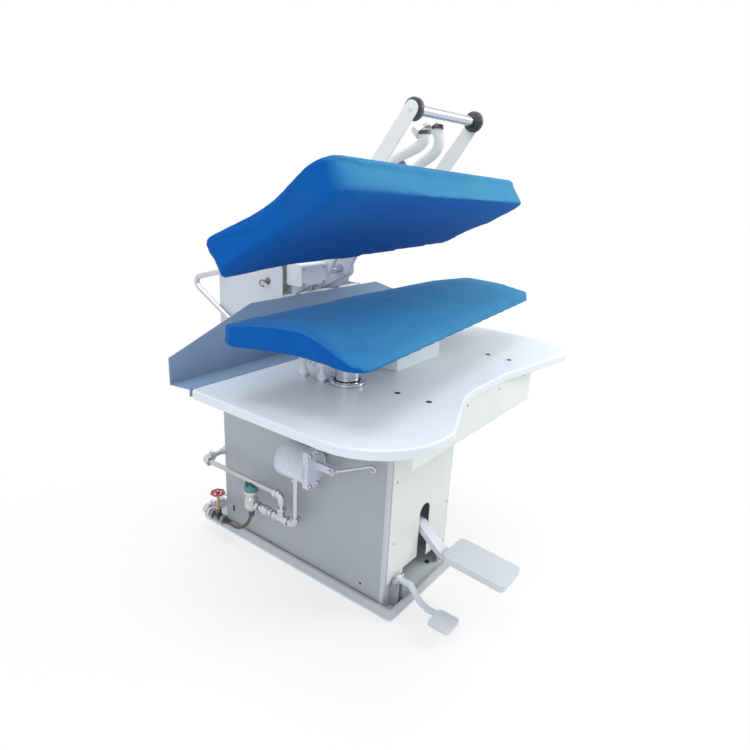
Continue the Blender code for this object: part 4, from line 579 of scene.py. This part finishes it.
def relaxed(mesh, amount, rounds, back=-0.515):
    """Round a mesh's edges; amount says how freely each point moves.

    The step back after each round keeps the mesh from shrinking.
    """
    count = len(mesh.vertices)
    places = np.empty(count * 3)
    mesh.vertices.foreach_get("co", places)
    places = places.reshape(-1, 3)
    ends = np.empty(len(mesh.edges) * 2, dtype=int)
    mesh.edges.foreach_get("vertices", ends)
    first, second = ends.reshape(-1, 2).T
    valence = np.bincount(ends, minlength=count)[:, None]
    for step in range(rounds * 2):
        total = np.zeros_like(places)
        for axis in range(3):
            total[:, axis] = (np.bincount(first, places[second, axis], count)
                              + np.bincount(second, places[first, axis], count))
        factor = 0.5 if step % 2 == 0 else back
        places += (total / valence - places) * factor * amount[:, None]
    mesh.vertices.foreach_set("co", places.ravel())
    mesh.update()


def ramp(values, start, over):
    """0 up to a start and rising to 1 beyond it, or below it where over is negative."""
    return np.clip((values - start) / over, 0.0, 1.0)


def cover(node, chest, name, rim, turned, face, soft_end):
    """A stuffed cover in the space of its solid, held at its rim and where it meets the chest.

    Rim is the level, in closed coordinates, of the edge that keeps its line. Face is 1 where
    the pressing face looks up and -1 where it looks down. The edge under soft_end is drawn
    round left of the middle.
    """
    source = tree_of(node)
    inner = tree_of(chest)
    mesh = nodes[node].data.copy()
    piece = bpy.data.objects.new(name, mesh)
    scene.collection.objects.link(piece)
    mesh.materials.clear()
    mesh.materials.append(LOOKS["cover_blue"])
    remesh = piece.modifiers.new("remesh", "REMESH")
    remesh.mode = "VOXEL"
    remesh.voxel_size = VOXEL
    applied(piece)
    mesh = piece.data
    freedom = np.ones(len(mesh.vertices))
    shrink = np.zeros(len(mesh.vertices))
    held = []
    for vert in mesh.vertices:
        if inner.find_nearest(vert.co)[3] < NEAR_CHEST:
            freedom[vert.index] = 0.0
            held.append(vert.index)
            continue
        away = (abs((turned @ vert.co).z - rim) - NEAR_RIM) / EDGE_BAND
        shrink[vert.index] = min(max(away, 0.0), 1.0)
        freedom[vert.index] = min(max(away, 0.35), 1.0)
        if away < 0.0:
            held.append(vert.index)
    relaxed(mesh, freedom, 9)
    closed_up = np.array([turned @ vert.co for vert in mesh.vertices])
    rises = np.array([(turned.to_3x3() @ vert.normal).z * face for vert in mesh.vertices])
    loose = freedom > 0.5
    pressing = ramp(rises, 0.80, 0.12) * loose
    relaxed(mesh, pressing, 36, 0.0)
    ending = (ramp(closed_up[:, 0], -0.16, -0.20) * ramp(closed_up[:, 0], -0.60, 0.12)
              * ramp(closed_up[:, 2], soft_end, -0.02) * loose)
    relaxed(mesh, ending, 60, 0.0)
    start = [vert.co.copy() for vert in mesh.vertices]
    inward = [vert.normal * (SHRUNK_BY * shrink[vert.index]) for vert in mesh.vertices]
    for vert, step in zip(mesh.vertices, inward):
        vert.co -= step
    pinned = piece.vertex_groups.new(name="pinned")
    pinned.add(held, 1.0, "REPLACE")
    cloth = piece.modifiers.new("cloth", "CLOTH")
    values = cloth.settings
    values.quality = 5
    values.mass = 0.3
    values.tension_stiffness = 12.0
    values.compression_stiffness = 12.0
    values.shear_stiffness = 5.0
    values.bending_stiffness = 0.8
    values.use_pressure = True
    values.uniform_pressure_force = 5.0
    values.effector_weights.gravity = 0.0
    values.vertex_group_mass = "pinned"
    values.pin_stiffness = 1.0
    cloth.collision_settings.use_collision = False
    cloth.collision_settings.use_self_collision = False
    for number in range(SWELL_FRAMES):
        scene.frame_set(number + 1)
    applied(piece)
    scene.frame_set(1)
    for vert, was in zip(piece.data.vertices, start):
        moved = vert.co - was
        if moved.length > FURTHEST:
            vert.co = was + moved.normalized() * FURTHEST
        hit, normal = source.find_nearest(vert.co)[:2]
        proud = PROUD_FACE + PROUD_SIDE * (1.0 - min(abs(rises[vert.index]) * 1.3, 1.0))
        if (vert.co - hit).dot(normal) > proud:
            vert.co = hit + normal * proud
    relaxed(piece.data, pressing, 10, 0.0)
    relaxed(piece.data, freedom, 3)
    subdivide = piece.modifiers.new("subdivide", "SUBSURF")
    subdivide.levels = 1
    subdivide.render_levels = 1
    applied(piece)
    piece.vertex_groups.clear()
    piece.data.shade_smooth()
    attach(piece, nodes[node]["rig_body"])
    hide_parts(node)


CLOSING = HEAD_TURN.inverted()
cover("buck_pad", "buck_chest", "buck_cover", BUCK_RIM, UPRIGHT, 1, 0.0)
cover("head_pad", "head_chest", "head_cover", HEAD_RIM, CLOSING, -1, 1.045)


# Outlines of the covers' rims, for their hems and cords
RIM_POINTS = 300


def rim_loop(node, level, turned, facing):
    """The outer edge of a node's flat rim at a level, as evenly spaced (x, y) points."""
    bm = bmesh.new()
    bm.from_mesh(nodes[node].data)
    bmesh.ops.remove_doubles(bm, verts=bm.verts, dist=WELD)
    bmesh.ops.transform(bm, matrix=turned, verts=bm.verts)
    bm.normal_update()
    flat = {face for face in bm.faces if face.normal.z * facing > 0.99
            and abs(face.calc_center_median().z - level) < 0.0004}
    border = [edge for face in flat for edge in face.edges
              if sum(other in flat for other in edge.link_faces) == 1]
    neighbours = {}
    for edge in border:
        for vert, other in (edge.verts, reversed(edge.verts)):
            neighbours.setdefault(vert, []).append(other)
    loops = []
    unseen = set(neighbours)
    while unseen:
        start = min(unseen, key=lambda vert: vert.index)
        line = [start]
        unseen.discard(start)
        while True:
            onward = [vert for vert in neighbours[line[-1]] if vert in unseen]
            if not onward:
                break
            line.append(onward[0])
            unseen.discard(onward[0])
        loops.append([vert.co.xy.copy() for vert in line])
    bm.free()

    def length(line):
        return sum((after - before).length for before, after in zip(line, line[1:] + line[:1]))

    line = max(loops, key=length)
    area = sum(a.x * b.y - b.x * a.y for a, b in zip(line, line[1:] + line[:1]))
    if area < 0.0:
        line.reverse()
    spacing = length(line) / RIM_POINTS
    even = []
    due = 0.0
    for before, after in zip(line, line[1:] + line[:1]):
        reach = (after - before).length
        while due < reach and len(even) < RIM_POINTS:
            even.append(before.lerp(after, due / reach))
            due += spacing
        due -= reach
    for turn in range(3):
        even = [(even[i - 1] + even[i] * 2 + even[(i + 1) % len(even)]) / 4
                for i in range(len(even))]
    return even


def inward_from(line):
    """Each point of a rim with the direction inward from it."""
    for index, place in enumerate(line):
        along = (line[(index + 1) % len(line)] - line[index - 1]).normalized()
        yield place, Vector((-along.y, along.x))


# Waves round a hem
GATHERS, FOLDS = 75, 31


def hem(name, line, level, profile, body, turned, ripple):
    """A gathered band round a rim: profile holds (inward, height, share of the ripple)."""
    bm = bmesh.new()
    rings = []
    for index, (place, inward) in enumerate(inward_from(line)):
        turn = index * 2 * math.pi / len(line)
        wave = math.sin(turn * GATHERS) + 0.5 * math.sin(turn * FOLDS)
        rings.append([bm.verts.new(turned @ Vector(
            (*(place + inward * depth), level + height + ripple * share * wave)))
            for depth, height, share in profile])
    for ring, following in zip(rings, rings[1:] + rings[:1]):
        bridge(bm, ring, following)
    made_of(name, bm, body, "cover_blue", sharp=60.0)


CORD = rubber("hem_cord", (0.62, 0.63, 0.62), 0.75)


def drawcord(name, line, depth, level, body, turned, radius):
    """The cord that draws a hem in."""
    points = [turned @ Vector((*(place + inward * depth), level))
              for place, inward in inward_from(line)]
    bm = bmesh.new()
    tube(bm, points, radius, 8, closed=True)
    made_of(name, bm, body, "white_hose", CORD, 60.0)


head_line = rim_loop("head_pad", HEAD_RIM, CLOSING, 1)
hem("head_cover_hem", head_line, HEAD_RIM,
    [(0.0035, -0.006, 0), (0.0028, -0.0005, 0), (0.0036, 0.0030, 0.2), (0.0060, 0.0052, 0.4),
     (0.0110, 0.0064, 0.8), (0.0165, 0.0068, 1.0), (0.0185, 0.0060, 1.0), (0.0180, 0.0047, 0.2),
     (0.0130, 0.0045, 0), (0.0070, 0.0010, 0), (0.0060, -0.006, 0)], "head", HEAD_TURN, 0.0006)
drawcord("head_drawcord", head_line, 0.0190, HEAD_RIM + 0.0070, "head", HEAD_TURN, 0.0018)
buck_line = rim_loop("buck_pad", BUCK_RIM, UPRIGHT, -1)
drawcord("buck_drawcord", buck_line, 0.0175, BUCK_RIM - 0.0005, "frame", UPRIGHT, 0.0016)


# Screws, bolts and washers
def screws(name, places, axis, radius, height, look=ZINC_BOLT, body="frame", hexagon=False,
           turned=None):
    """A group of like fasteners standing on points."""
    bm = bmesh.new()
    for place in places:
        if hexagon:
            hex_head(bm, place, axis, radius * 2, height)
        else:
            pan_head(bm, place, axis, radius, height)
    if turned:
        bmesh.ops.transform(bm, matrix=turned, verts=bm.verts)
    made_of(name, bm, body, "bright_steel", look)


def head_bolts(name, places, radius, height, look=ZINC_BOLT, axis=UP):
    """Hexagon bolts on the head, given where they are with it closed."""
    screws(name, places, axis, radius, height, look, "head", True, HEAD_TURN)


def hex_sleeves(name, places, flats, width, slot):
    """Hexagon unions slid over pipes: each place is (centre, axis)."""
    bm = bmesh.new()
    corner = flats / 2 / math.cos(math.pi / 6)
    for centre, axis in places:
        lathe(bm, [(0, -width / 2), (corner * 0.88, -width / 2), (corner, -width * 0.36),
                   (corner, width * 0.36), (corner * 0.88, width / 2), (0, width / 2)],
              centre, axis, 6)
    made_of(name, bm, "frame", slot)


def middle(places):
    """The mean of a list of places."""
    return sum(places, Vector()) / len(places)


def end_of(node, axis):
    """The middle of a node's high end along an axis."""
    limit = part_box(node)[1][axis]
    return middle([vert.co for vert in nodes[node].data.vertices
                   if abs(vert.co[axis] - limit) < 0.0015])


table_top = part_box("work_table")[1].z
panel_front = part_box("front_panel")[0].y
panel_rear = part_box("rear_panel")[1].y
side_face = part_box("side_panel_left")[0].x
right_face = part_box("side_panel_right")[1].x
TRAY_FLOOR = 0.006
CHEST_TOP = 1.082
# Radius and height of a sheet metal screw's head
PANEL_SCREW = (0.0045, 0.0028)
bm = bmesh.new()
for x, y in ((-0.2589, -0.4662), (-0.2555, -0.5648), (0.270, -0.4705), (0.2636, -0.5506)):
    lathe(bm, [(0, -GAP), (0.0085, -GAP), (0.0085, 0.0006), (0.0066, 0.0014), (0.0050, 0.0006),
               (0, 0.0003)], (x, y, table_top))
made_of("table_screws", bm, "frame", "dark_iron", DARK_BOLT)
screws("front_panel_screws",
       [(-0.1586, panel_front, 0.4663), (-0.1566, panel_front, 0.2455),
        (0.171, panel_front, 0.2562), (0.1428, panel_front, 0.1176), (0.171, panel_front, 0.478)],
       FRONT, *PANEL_SCREW)
screws("rear_panel_screws",
       [(x, panel_rear, z) for x in (-0.180, 0.180) for z in (0.06, 0.30, 0.54, 0.78, 1.02)],
       BACK, *PANEL_SCREW)
screws("right_side_screws", [(right_face, y, z) for y in (-0.36, 0.31) for z in (0.10, 0.40, 0.69)],
       RIGHT, *PANEL_SCREW)
screws("column_cover_screws",
       [(x, y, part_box("column_top_cover")[1].z) for x in (-0.17, 0.17) for y in (0.155, 0.285)],
       UP, 0.0045, 0.0026)
apron_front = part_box("front_apron")[0].y
screws("apron_screws", [(x, apron_front, 0.752) for x in (-0.30, -0.10, 0.10, 0.28)],
       FRONT, 0.0042, 0.0024)
trough_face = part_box("laundry_trough")[1].y - 0.003
screws("trough_rivets", [(x, trough_face, z) for x in (-0.16, 0.16) for z in (0.835, 0.925)],
       FRONT, 0.0042, 0.0018)
screws("side_bolt", [(side_face, 0.096, 0.038)], LEFT, 0.0034, 0.003, HOOK_STEEL, hexagon=True)
screws("tray_bolts", [(-0.106, -0.438, TRAY_FLOOR), (0.1272, -0.3896, TRAY_FLOOR),
                      (-0.180, 0.400, TRAY_FLOOR), (0.180, 0.400, TRAY_FLOOR)],
       UP, 0.006, 0.006, DARK_BOLT, hexagon=True)

# A hook on the column's side
bm = bmesh.new()
hook_at = Vector((side_face, 0.1007, 1.0142))
hex_head(bm, hook_at, LEFT, 0.015, 0.006)
tube(bm, curve_through([hook_at + Vector(step) for step in (
    (-0.004, 0, 0), (-0.014, 0, 0), (-0.019, 0.008, 0.005), (-0.019, 0.018, -0.003),
    (-0.019, 0.013, -0.014), (-0.019, 0.001, -0.015))], 6), 0.0027, 10)
made_of("column_hook", bm, "frame", "bright_steel", HOOK_STEEL)

# Head: chest bolts, bracket plates and the bolts of the yoke and the arms
YOKE_TOP = 1.1083
# Distance from the middle to the inner and the outer face of a handle arm
ARM_INNER, ARM_OUTER = 0.1677, 0.174
BRACKET_Y = (-0.292, -0.208)
BRACKET_BOLTS_Y = (-0.272, -0.228)
BRACKET_TOP = CHEST_TOP + 0.005


def bracket_leaf(bm, side, start, low, high):
    """One leaf of an arm bracket, which reaches to the arm."""
    near, far = sorted((side * start, side * ARM_INNER))
    rounded_box(bm, (near, BRACKET_Y[0], low), (far, BRACKET_Y[1], high), 0.0012)


head_bolts("chest_bolts",
           [(x, y, CHEST_TOP) for x, y in (
               (-0.47, -0.505), (0.05, -0.495), (0.30, -0.475), (0.43, -0.330), (-0.44, -0.345),
               (-0.53, -0.190), (0.34, -0.195))],
           0.0075, 0.009, DARK_BOLT)
head_bolts("chest_front_stud", [(-0.207, -0.517, CHEST_TOP)], 0.0085, 0.016, DARK_BOLT)
head_bolts("yoke_bolts", [(x, y, YOKE_TOP) for x in (-0.024, 0.024) for y in (-0.295, -0.215)],
           0.0065, 0.008)
bm = bmesh.new()
for side in (-1, 1):
    bracket_leaf(bm, side, 0.140, CHEST_TOP + GAP, BRACKET_TOP)
    bracket_leaf(bm, side, 0.1637, CHEST_TOP + 0.004, CHEST_TOP + 0.026)
bmesh.ops.transform(bm, matrix=HEAD_TURN, verts=bm.verts)
made_of("arm_brackets", bm, "head", "pedal_grey", ARM_WHITE)
head_bolts("arm_bracket_bolts",
           [(side * 0.152, y, BRACKET_TOP) for side in (-1, 1) for y in BRACKET_BOLTS_Y],
           0.0050, 0.006)
for side, word in ((-1, "left"), (1, "right")):
    head_bolts("arm_side_bolts_" + word, [(side * ARM_OUTER, y, 1.098) for y in BRACKET_BOLTS_Y],
               0.0050, 0.005, axis=(side, 0, 0))
    screws("handle_nut_" + word, [(side * ARM_OUTER, -0.3915, 1.515)], (side, 0, 0), 0.0070, 0.004,
           ARM_WHITE, "head")

# Jumper hoses: unions at the chest and worm clamps at the connector
bm = bmesh.new()
clamp_bm = bmesh.new()
for node in ("jumper_hose_left", "jumper_hose_right"):
    closed_up = [CLOSING @ vert.co for vert in nodes[node].data.vertices]
    foot = middle([place for place in closed_up if place.z < CHEST_TOP + 0.002])
    lathe(bm, [(0, GAP), (0.0225, GAP), (0.0225, 0.010), (0.0195, 0.0125), (0.0172, 0.0125),
               (0.0172, 0.022), (0.0, 0.022)], (foot.x, foot.y, CHEST_TOP), UP, 6)
    tip = end_of(node, 2)
    lower = middle([vert.co for vert in nodes[node].data.vertices
                    if 0.012 < tip.z - vert.co.z < 0.022])
    along = (tip - lower).normalized()
    lathe(clamp_bm, [(0, -0.016), (0.0164, -0.016), (0.0172, -0.015), (0.0172, -0.007),
                     (0.0164, -0.006), (0, -0.006)], tip, along, 28)
    side = along.cross(Vector(RIGHT)).normalized()
    lathe(clamp_bm, [(0, -0.007), (0.0042, -0.007), (0.0042, 0.007), (0, 0.007)],
          tip - along * 0.011 + side * 0.0195, RIGHT, 12)
bmesh.ops.transform(bm, matrix=HEAD_TURN, verts=bm.verts)
made_of("hose_unions", bm, "head", "bright_steel")
made_of("hose_clamps", clamp_bm, "head", "dark_iron", DARK_BOLT)

# Hinge: housing screws and the collar on the shaft's end
bearing_low, bearing_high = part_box("hinge_bearing_left")
screws("housing_screws",
       [(x, bearing_low.y, z) for x in (bearing_low.x + 0.013, bearing_high.x - 0.013)
        for z in (1.020, 1.068)],
       FRONT, 0.0038, 0.003, hexagon=True)
shaft_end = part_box("hinge_shaft")[1].x
bm = bmesh.new()
lathe(bm, [(0, -0.0035), (0.019, -0.0035), (0.019, 0.002), (0.017, 0.004), (0, 0.004)],
      (shaft_end, HINGE.y, HINGE.z), RIGHT, 28)
made_of("shaft_collar", bm, "head", "bright_steel", ZINC_BOLT)

# Duct and unions under the buck
duct_low, duct_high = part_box("vacuum_duct")
duct_x, duct_y = (duct_low.x + duct_high.x) / 2, (duct_low.y + duct_high.y) / 2
SEAL_R, SEAL_POINTS = 0.0366, 48
bm = bmesh.new()
tube(bm, [around((duct_x, duct_y, duct_low.z + 0.0132), SEAL_R, 2 * math.pi * step / SEAL_POINTS)
          for step in range(SEAL_POINTS)], 0.0014, 8, closed=True)
made_of("duct_seal_ring", bm, "frame", "black_rubber")
bm = bmesh.new()
for step in range(4):
    pan_head(bm, around((duct_x, duct_y, duct_low.z + 0.012), 0.0445, (step + 0.5) * math.pi / 2),
             UP, 0.0036, 0.0022)
made_of("duct_screws", bm, "frame", "bright_steel", ZINC_BOLT)
UNION_X, UNION_R = -0.330, 0.0172
rear_union, front_union = Vector((UNION_X, -0.186, 0)), Vector((UNION_X, -0.256, 0))
bm = bmesh.new()
for place in (rear_union, front_union):
    for level in (0.8012, 0.9367):
        lathe(bm, [(0, -0.0035), (UNION_R, -0.0035), (UNION_R, 0.0035), (0, 0.0035)],
              (place.x, place.y, level), UP, 6)
made_of("union_nuts", bm, "frame", "bright_steel")
bm = bmesh.new()
for offset, dip in ((-0.008, 0.0), (0.010, 0.012)):
    tube(bm, curve_through([
        rear_union + Vector((offset - 0.007, 0.004, 0.905)),
        rear_union + Vector((offset - 0.012, -0.018, 0.872 - dip)),
        middle([rear_union, front_union]) + Vector((offset - 0.008, 0.0, 0.846 - dip)),
        front_union + Vector((offset - 0.012, 0.018, 0.866 - dip)),
        front_union + Vector((offset - 0.007, -0.004, 0.900))]), 0.0016, 8)
made_of("union_bleed_wires", bm, "frame", "bright_steel")

# Steam valve: bands, flange bolts and the nuts of its lever
PIPE_X = -0.258
VALVE_Z = 0.462
BAND_R = 0.0592
FLANGE_FRONT = -0.186
bm = bmesh.new()
for place in (-0.160, -0.052):
    lathe(bm, [(0, -0.004), (BAND_R, -0.0032), (BAND_R, 0.0032), (0, 0.004)],
          (PIPE_X, place, VALVE_Z), BACK, 48)
made_of("valve_bands", bm, "frame", "cabinet_grey", VALVE_ENAMEL)
screws("valve_flange_bolts",
       [(x, FLANGE_FRONT, z) for x in (-0.298, -0.264) for z in (0.420, 0.526)],
       FRONT, 0.0052, 0.006, hexagon=True)
PIVOT = Vector((-0.266, -0.250, 0.487))
bm = bmesh.new()
for way in (LEFT, RIGHT):
    hex_head(bm, PIVOT + Vector(way) * 0.0098, way, 0.013, 0.006)
made_of("valve_pivot_nuts", bm, "frame", "bright_steel", ZINC_BOLT)

# Hexagon unions on the plumbing
CHAIN_Z, SUPPLY_Z, OUTLET_Z = 0.220, 0.306, 0.084
STOP_Y, TRAP_Y = 0.318, 0.130
hex_sleeves("pipe_unions", [
    ((PIPE_X, -0.050, CHAIN_Z), BACK), ((PIPE_X, 0.006, CHAIN_Z), BACK),
    ((PIPE_X, 0.062, CHAIN_Z), BACK), ((PIPE_X, 0.094, CHAIN_Z), BACK),
    ((PIPE_X, -0.088, 0.2445), UP), ((PIPE_X, -0.088, 0.3960), UP),
    ((PIPE_X, -0.022, 0.2560), UP), ((PIPE_X, 0.004, SUPPLY_Z), BACK),
    ((PIPE_X, 0.360, SUPPLY_Z), BACK), ((-0.222, 0.388, SUPPLY_Z), RIGHT),
    ((-0.158, 0.388, SUPPLY_Z), RIGHT), ((PIPE_X, 0.366, OUTLET_Z), BACK),
    ((-0.215, 0.4053, OUTLET_Z), RIGHT), ((-0.150, 0.4053, OUTLET_Z), RIGHT)],
    0.033, 0.012, "bright_steel")
hex_sleeves("stop_valve_unions",
            [((PIPE_X, 0.2885, OUTLET_Z), BACK), ((PIPE_X, 0.3475, OUTLET_Z), BACK)],
            0.034, 0.013, "dark_iron")
hex_sleeves("stop_valve_bonnet_nut", [((PIPE_X, STOP_Y, 0.1245), UP)], 0.022, 0.010, "brass")
trap_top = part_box("steam_trap_cap")[1].z
bm = bmesh.new()
for step in range(6):
    hex_head(bm, around((PIPE_X, TRAP_Y, trap_top), 0.0185, step * math.pi / 3),
             UP, 0.0065, 0.004, False)
made_of("trap_cap_bolts", bm, "frame", "dark_iron", DARK_BOLT)
bm = bmesh.new()
for place, axis in ((end_of("drain_hose", 2), (0, 0, -1)), (end_of("drain_hose", 1), FRONT)):
    lathe(bm, [(0, 0.001), (0.0105, 0.001), (0.0105, 0.012), (0.0092, 0.013), (0.0092, 0.024),
               (0, 0.024)], place, axis, 20)
made_of("drain_hose_ends", bm, "frame", "black_rubber")

# Scalloped handwheel
bm = bmesh.new()
wheel_low, wheel_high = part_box("stop_valve_handwheel")
hub = (PIPE_X, STOP_Y, (wheel_low.z + wheel_high.z) / 2)
WHEEL_R, LOBE_RISE, LOBES, WHEEL_POINTS = 0.0225, 0.0016, 7, 84
angles = [2 * math.pi * step / WHEEL_POINTS for step in range(WHEEL_POINTS)]
tube(bm, [around(hub, WHEEL_R + LOBE_RISE * math.cos(LOBES * angle), angle) for angle in angles],
     0.0042, closed=True)
lathe(bm, [(0, -0.0060), (0.0075, -0.0060), (0.0085, -0.0030), (0.0085, 0.0030), (0.0070, 0.0060),
           (0, 0.0060)], hub)
for step in range(4):
    tube(bm, [around(hub, reach, (step + 0.5) * math.pi / 2) for reach in (0.006, 0.014, 0.021)],
         0.0028, 10)
hand_wheel = made_of("handwheel_scalloped", bm, "handwheel", "red_paint")
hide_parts("stop_valve_handwheel")
bm = bmesh.new()
hex_head(bm, (hub[0], hub[1], hub[2] + 0.0060), UP, 0.0085, 0.003, False)
made_of("handwheel_nut", bm, "handwheel", "bright_steel", ZINC_BOLT)

# Nuts on the small pedal's pin
PIN_Y, PIN_Z = -0.436, 0.108
pin_low, pin_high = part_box("small_pedal_pin")
for word, x, axis in (("left", pin_low.x + 0.002, LEFT), ("right", pin_high.x - 0.002, RIGHT)):
    screws("small_pivot_nut_" + word, [(x, PIN_Y, PIN_Z)], axis, 0.0075, 0.006,
           body="small_pedal", hexagon=True)


# Counterbalance springs that stretch between the anchor bar and the yoke
def spring(node):
    """A wound extension spring with a hook at each end."""
    low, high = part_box(node)
    centre = Vector(((low.x + high.x) / 2, (low.y + high.y) / 2, 0.0))
    wire, reach, turns, steps = 0.0021, 0.0138, 13, 20
    body_low, body_high = low.z + 0.016, high.z - 0.016
    points = [centre + Vector((0, 0, low.z + wire)), centre + Vector((0, 0.004, low.z + 0.006))]
    for step in range(turns * steps + 1):
        share = step / (turns * steps)
        points.append(around((centre.x, centre.y, body_low + share * (body_high - body_low)),
                             reach, 2 * math.pi * share * turns))
    points += [centre + Vector((0, 0.004, high.z - 0.006)), centre + Vector((0, 0, high.z - wire))]
    bm = bmesh.new()
    tube(bm, points, wire, 8)
    piece = shaped(node + "_wound", bm, LOOKS["bright_steel"], 180.0)
    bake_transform(piece)
    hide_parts(node)


for node in ("counter_spring_left", "counter_spring_right"):
    spring(node)


# Floor, light and camera
def background_rays(tree):
    """1 for camera, gloss and glass rays, which show the white background."""
    path = node_in(tree, "ShaderNodeLightPath")
    total = path.outputs["Is Camera Ray"]
    for word in ("Is Glossy Ray", "Is Transmission Ray"):
        either = node_in(tree, "ShaderNodeMath")
        either.operation = "MAXIMUM"
        tree.links.new(total, either.inputs[0])
        tree.links.new(path.outputs[word], either.inputs[1])
        total = either.outputs["Value"]
    return total


def mix_out(tree, share, first, second, output):
    """Lead a mix of two nodes' shaders to the output node."""
    mixed = node_in(tree, "ShaderNodeMixShader", Fac=share)
    tree.links.new(first.outputs[0], mixed.inputs[1])
    tree.links.new(second.outputs[0], mixed.inputs[2])
    tree.links.new(mixed.outputs["Shader"], tree.nodes[output].inputs["Surface"])


floor_bm = bmesh.new()
bmesh.ops.create_grid(floor_bm, x_segments=1, y_segments=1, size=30.0)
floor_mesh = bpy.data.meshes.new("floor")
floor_bm.to_mesh(floor_mesh)
floor_bm.free()
floor = bpy.data.objects.new("floor", floor_mesh)
floor.location.z = -0.0005
scene.collection.objects.link(floor)
pale = bpy.data.materials.new("pale_floor")
pale.use_nodes = True
tree = pale.node_tree
shader = tree.nodes["Principled BSDF"]
shader.inputs["Base Color"].default_value = (0.93, 0.93, 0.93, 1.0)
shader.inputs["Roughness"].default_value = 0.9
shader.inputs["Specular IOR Level"].default_value = 0.1
white_glow = node_in(tree, "ShaderNodeEmission", Color=(1.0, 1.0, 1.0, 1.0))
distance = node_in(tree, "ShaderNodeVectorMath")
distance.operation = "LENGTH"
tree.links.new(node_in(tree, "ShaderNodeNewGeometry").outputs["Position"], distance.inputs[0])
fade = node_in(tree, "ShaderNodeMapRange", From_Min=0.35, From_Max=1.5, To_Min=0.60, To_Max=1.0,
               Value=distance.outputs["Value"])
fade.interpolation_type = "SMOOTHSTEP"
share = node_in(tree, "ShaderNodeMath")
share.operation = "MULTIPLY"
tree.links.new(background_rays(tree), share.inputs[0])
tree.links.new(fade.outputs["Result"], share.inputs[1])
mix_out(tree, share.outputs["Value"], shader, white_glow, "Material Output")
floor_mesh.materials.append(pale)

world = bpy.data.worlds.new("studio")
scene.world = world
world.use_nodes = True
tree = world.node_tree
background = tree.nodes["Background"]
background.inputs["Color"].default_value = (0.93, 0.96, 1.0, 1.0)
background.inputs["Strength"].default_value = 0.62
white = node_in(tree, "ShaderNodeBackground", Color=(1.0, 1.0, 1.0, 1.0), Strength=1.0)
mix_out(tree, background_rays(tree), background, white, "World Output")


def area_light(name, place, target, size, power, colour):
    """A soft box that faces a point."""
    lamp = bpy.data.lights.new(name, "AREA")
    lamp.shape = "RECTANGLE"
    lamp.size, lamp.size_y = size
    lamp.energy = power
    lamp.color = colour
    made = bpy.data.objects.new(name, lamp)
    made.location = place
    made.rotation_mode = "QUATERNION"
    made.rotation_quaternion = (Vector(target) - Vector(place)).to_track_quat("-Z", "Y")
    scene.collection.objects.link(made)


area_light("key_light", (2.7, -2.7, 3.1), (0, 0, 0.8), (2.2, 2.0), 92.0, (1.0, 0.99, 0.97))
area_light("top_light", (-0.3, 0.2, 3.9), (0, -0.1, 0.8), (2.6, 2.6), 60.0, (0.95, 0.98, 1.0))
area_light("left_fill", (-3.2, -1.5, 2.5), (0, 0, 0.7), (2.4, 2.4), 37.0, (0.94, 0.97, 1.0))

CAMERA_PLACE = Vector((-1.5107, -1.3012, 1.350))
yaw, pitch, roll = math.radians(53.88), math.radians(18.57), math.radians(3.06)
forward = Vector((math.sin(yaw) * math.cos(pitch), math.cos(yaw) * math.cos(pitch),
                  -math.sin(pitch)))
level_right = Vector((math.cos(yaw), -math.sin(yaw), 0.0))
level_up = level_right.cross(forward)
right = level_right * math.cos(roll) + level_up * math.sin(roll)
up = level_up * math.cos(roll) - level_right * math.sin(roll)
lens = bpy.data.cameras.new("photo_camera")
lens.sensor_width = 36.0
lens.sensor_fit = "HORIZONTAL"
lens.lens = 28.38
lens.clip_start = 0.05
camera = bpy.data.objects.new("photo_camera", lens)
camera.matrix_world = (Matrix.Translation(CAMERA_PLACE)
                       @ Matrix((right, up, -forward)).transposed().to_4x4())
scene.collection.objects.link(camera)
scene.camera = camera
scene.view_settings.view_transform = "Standard"
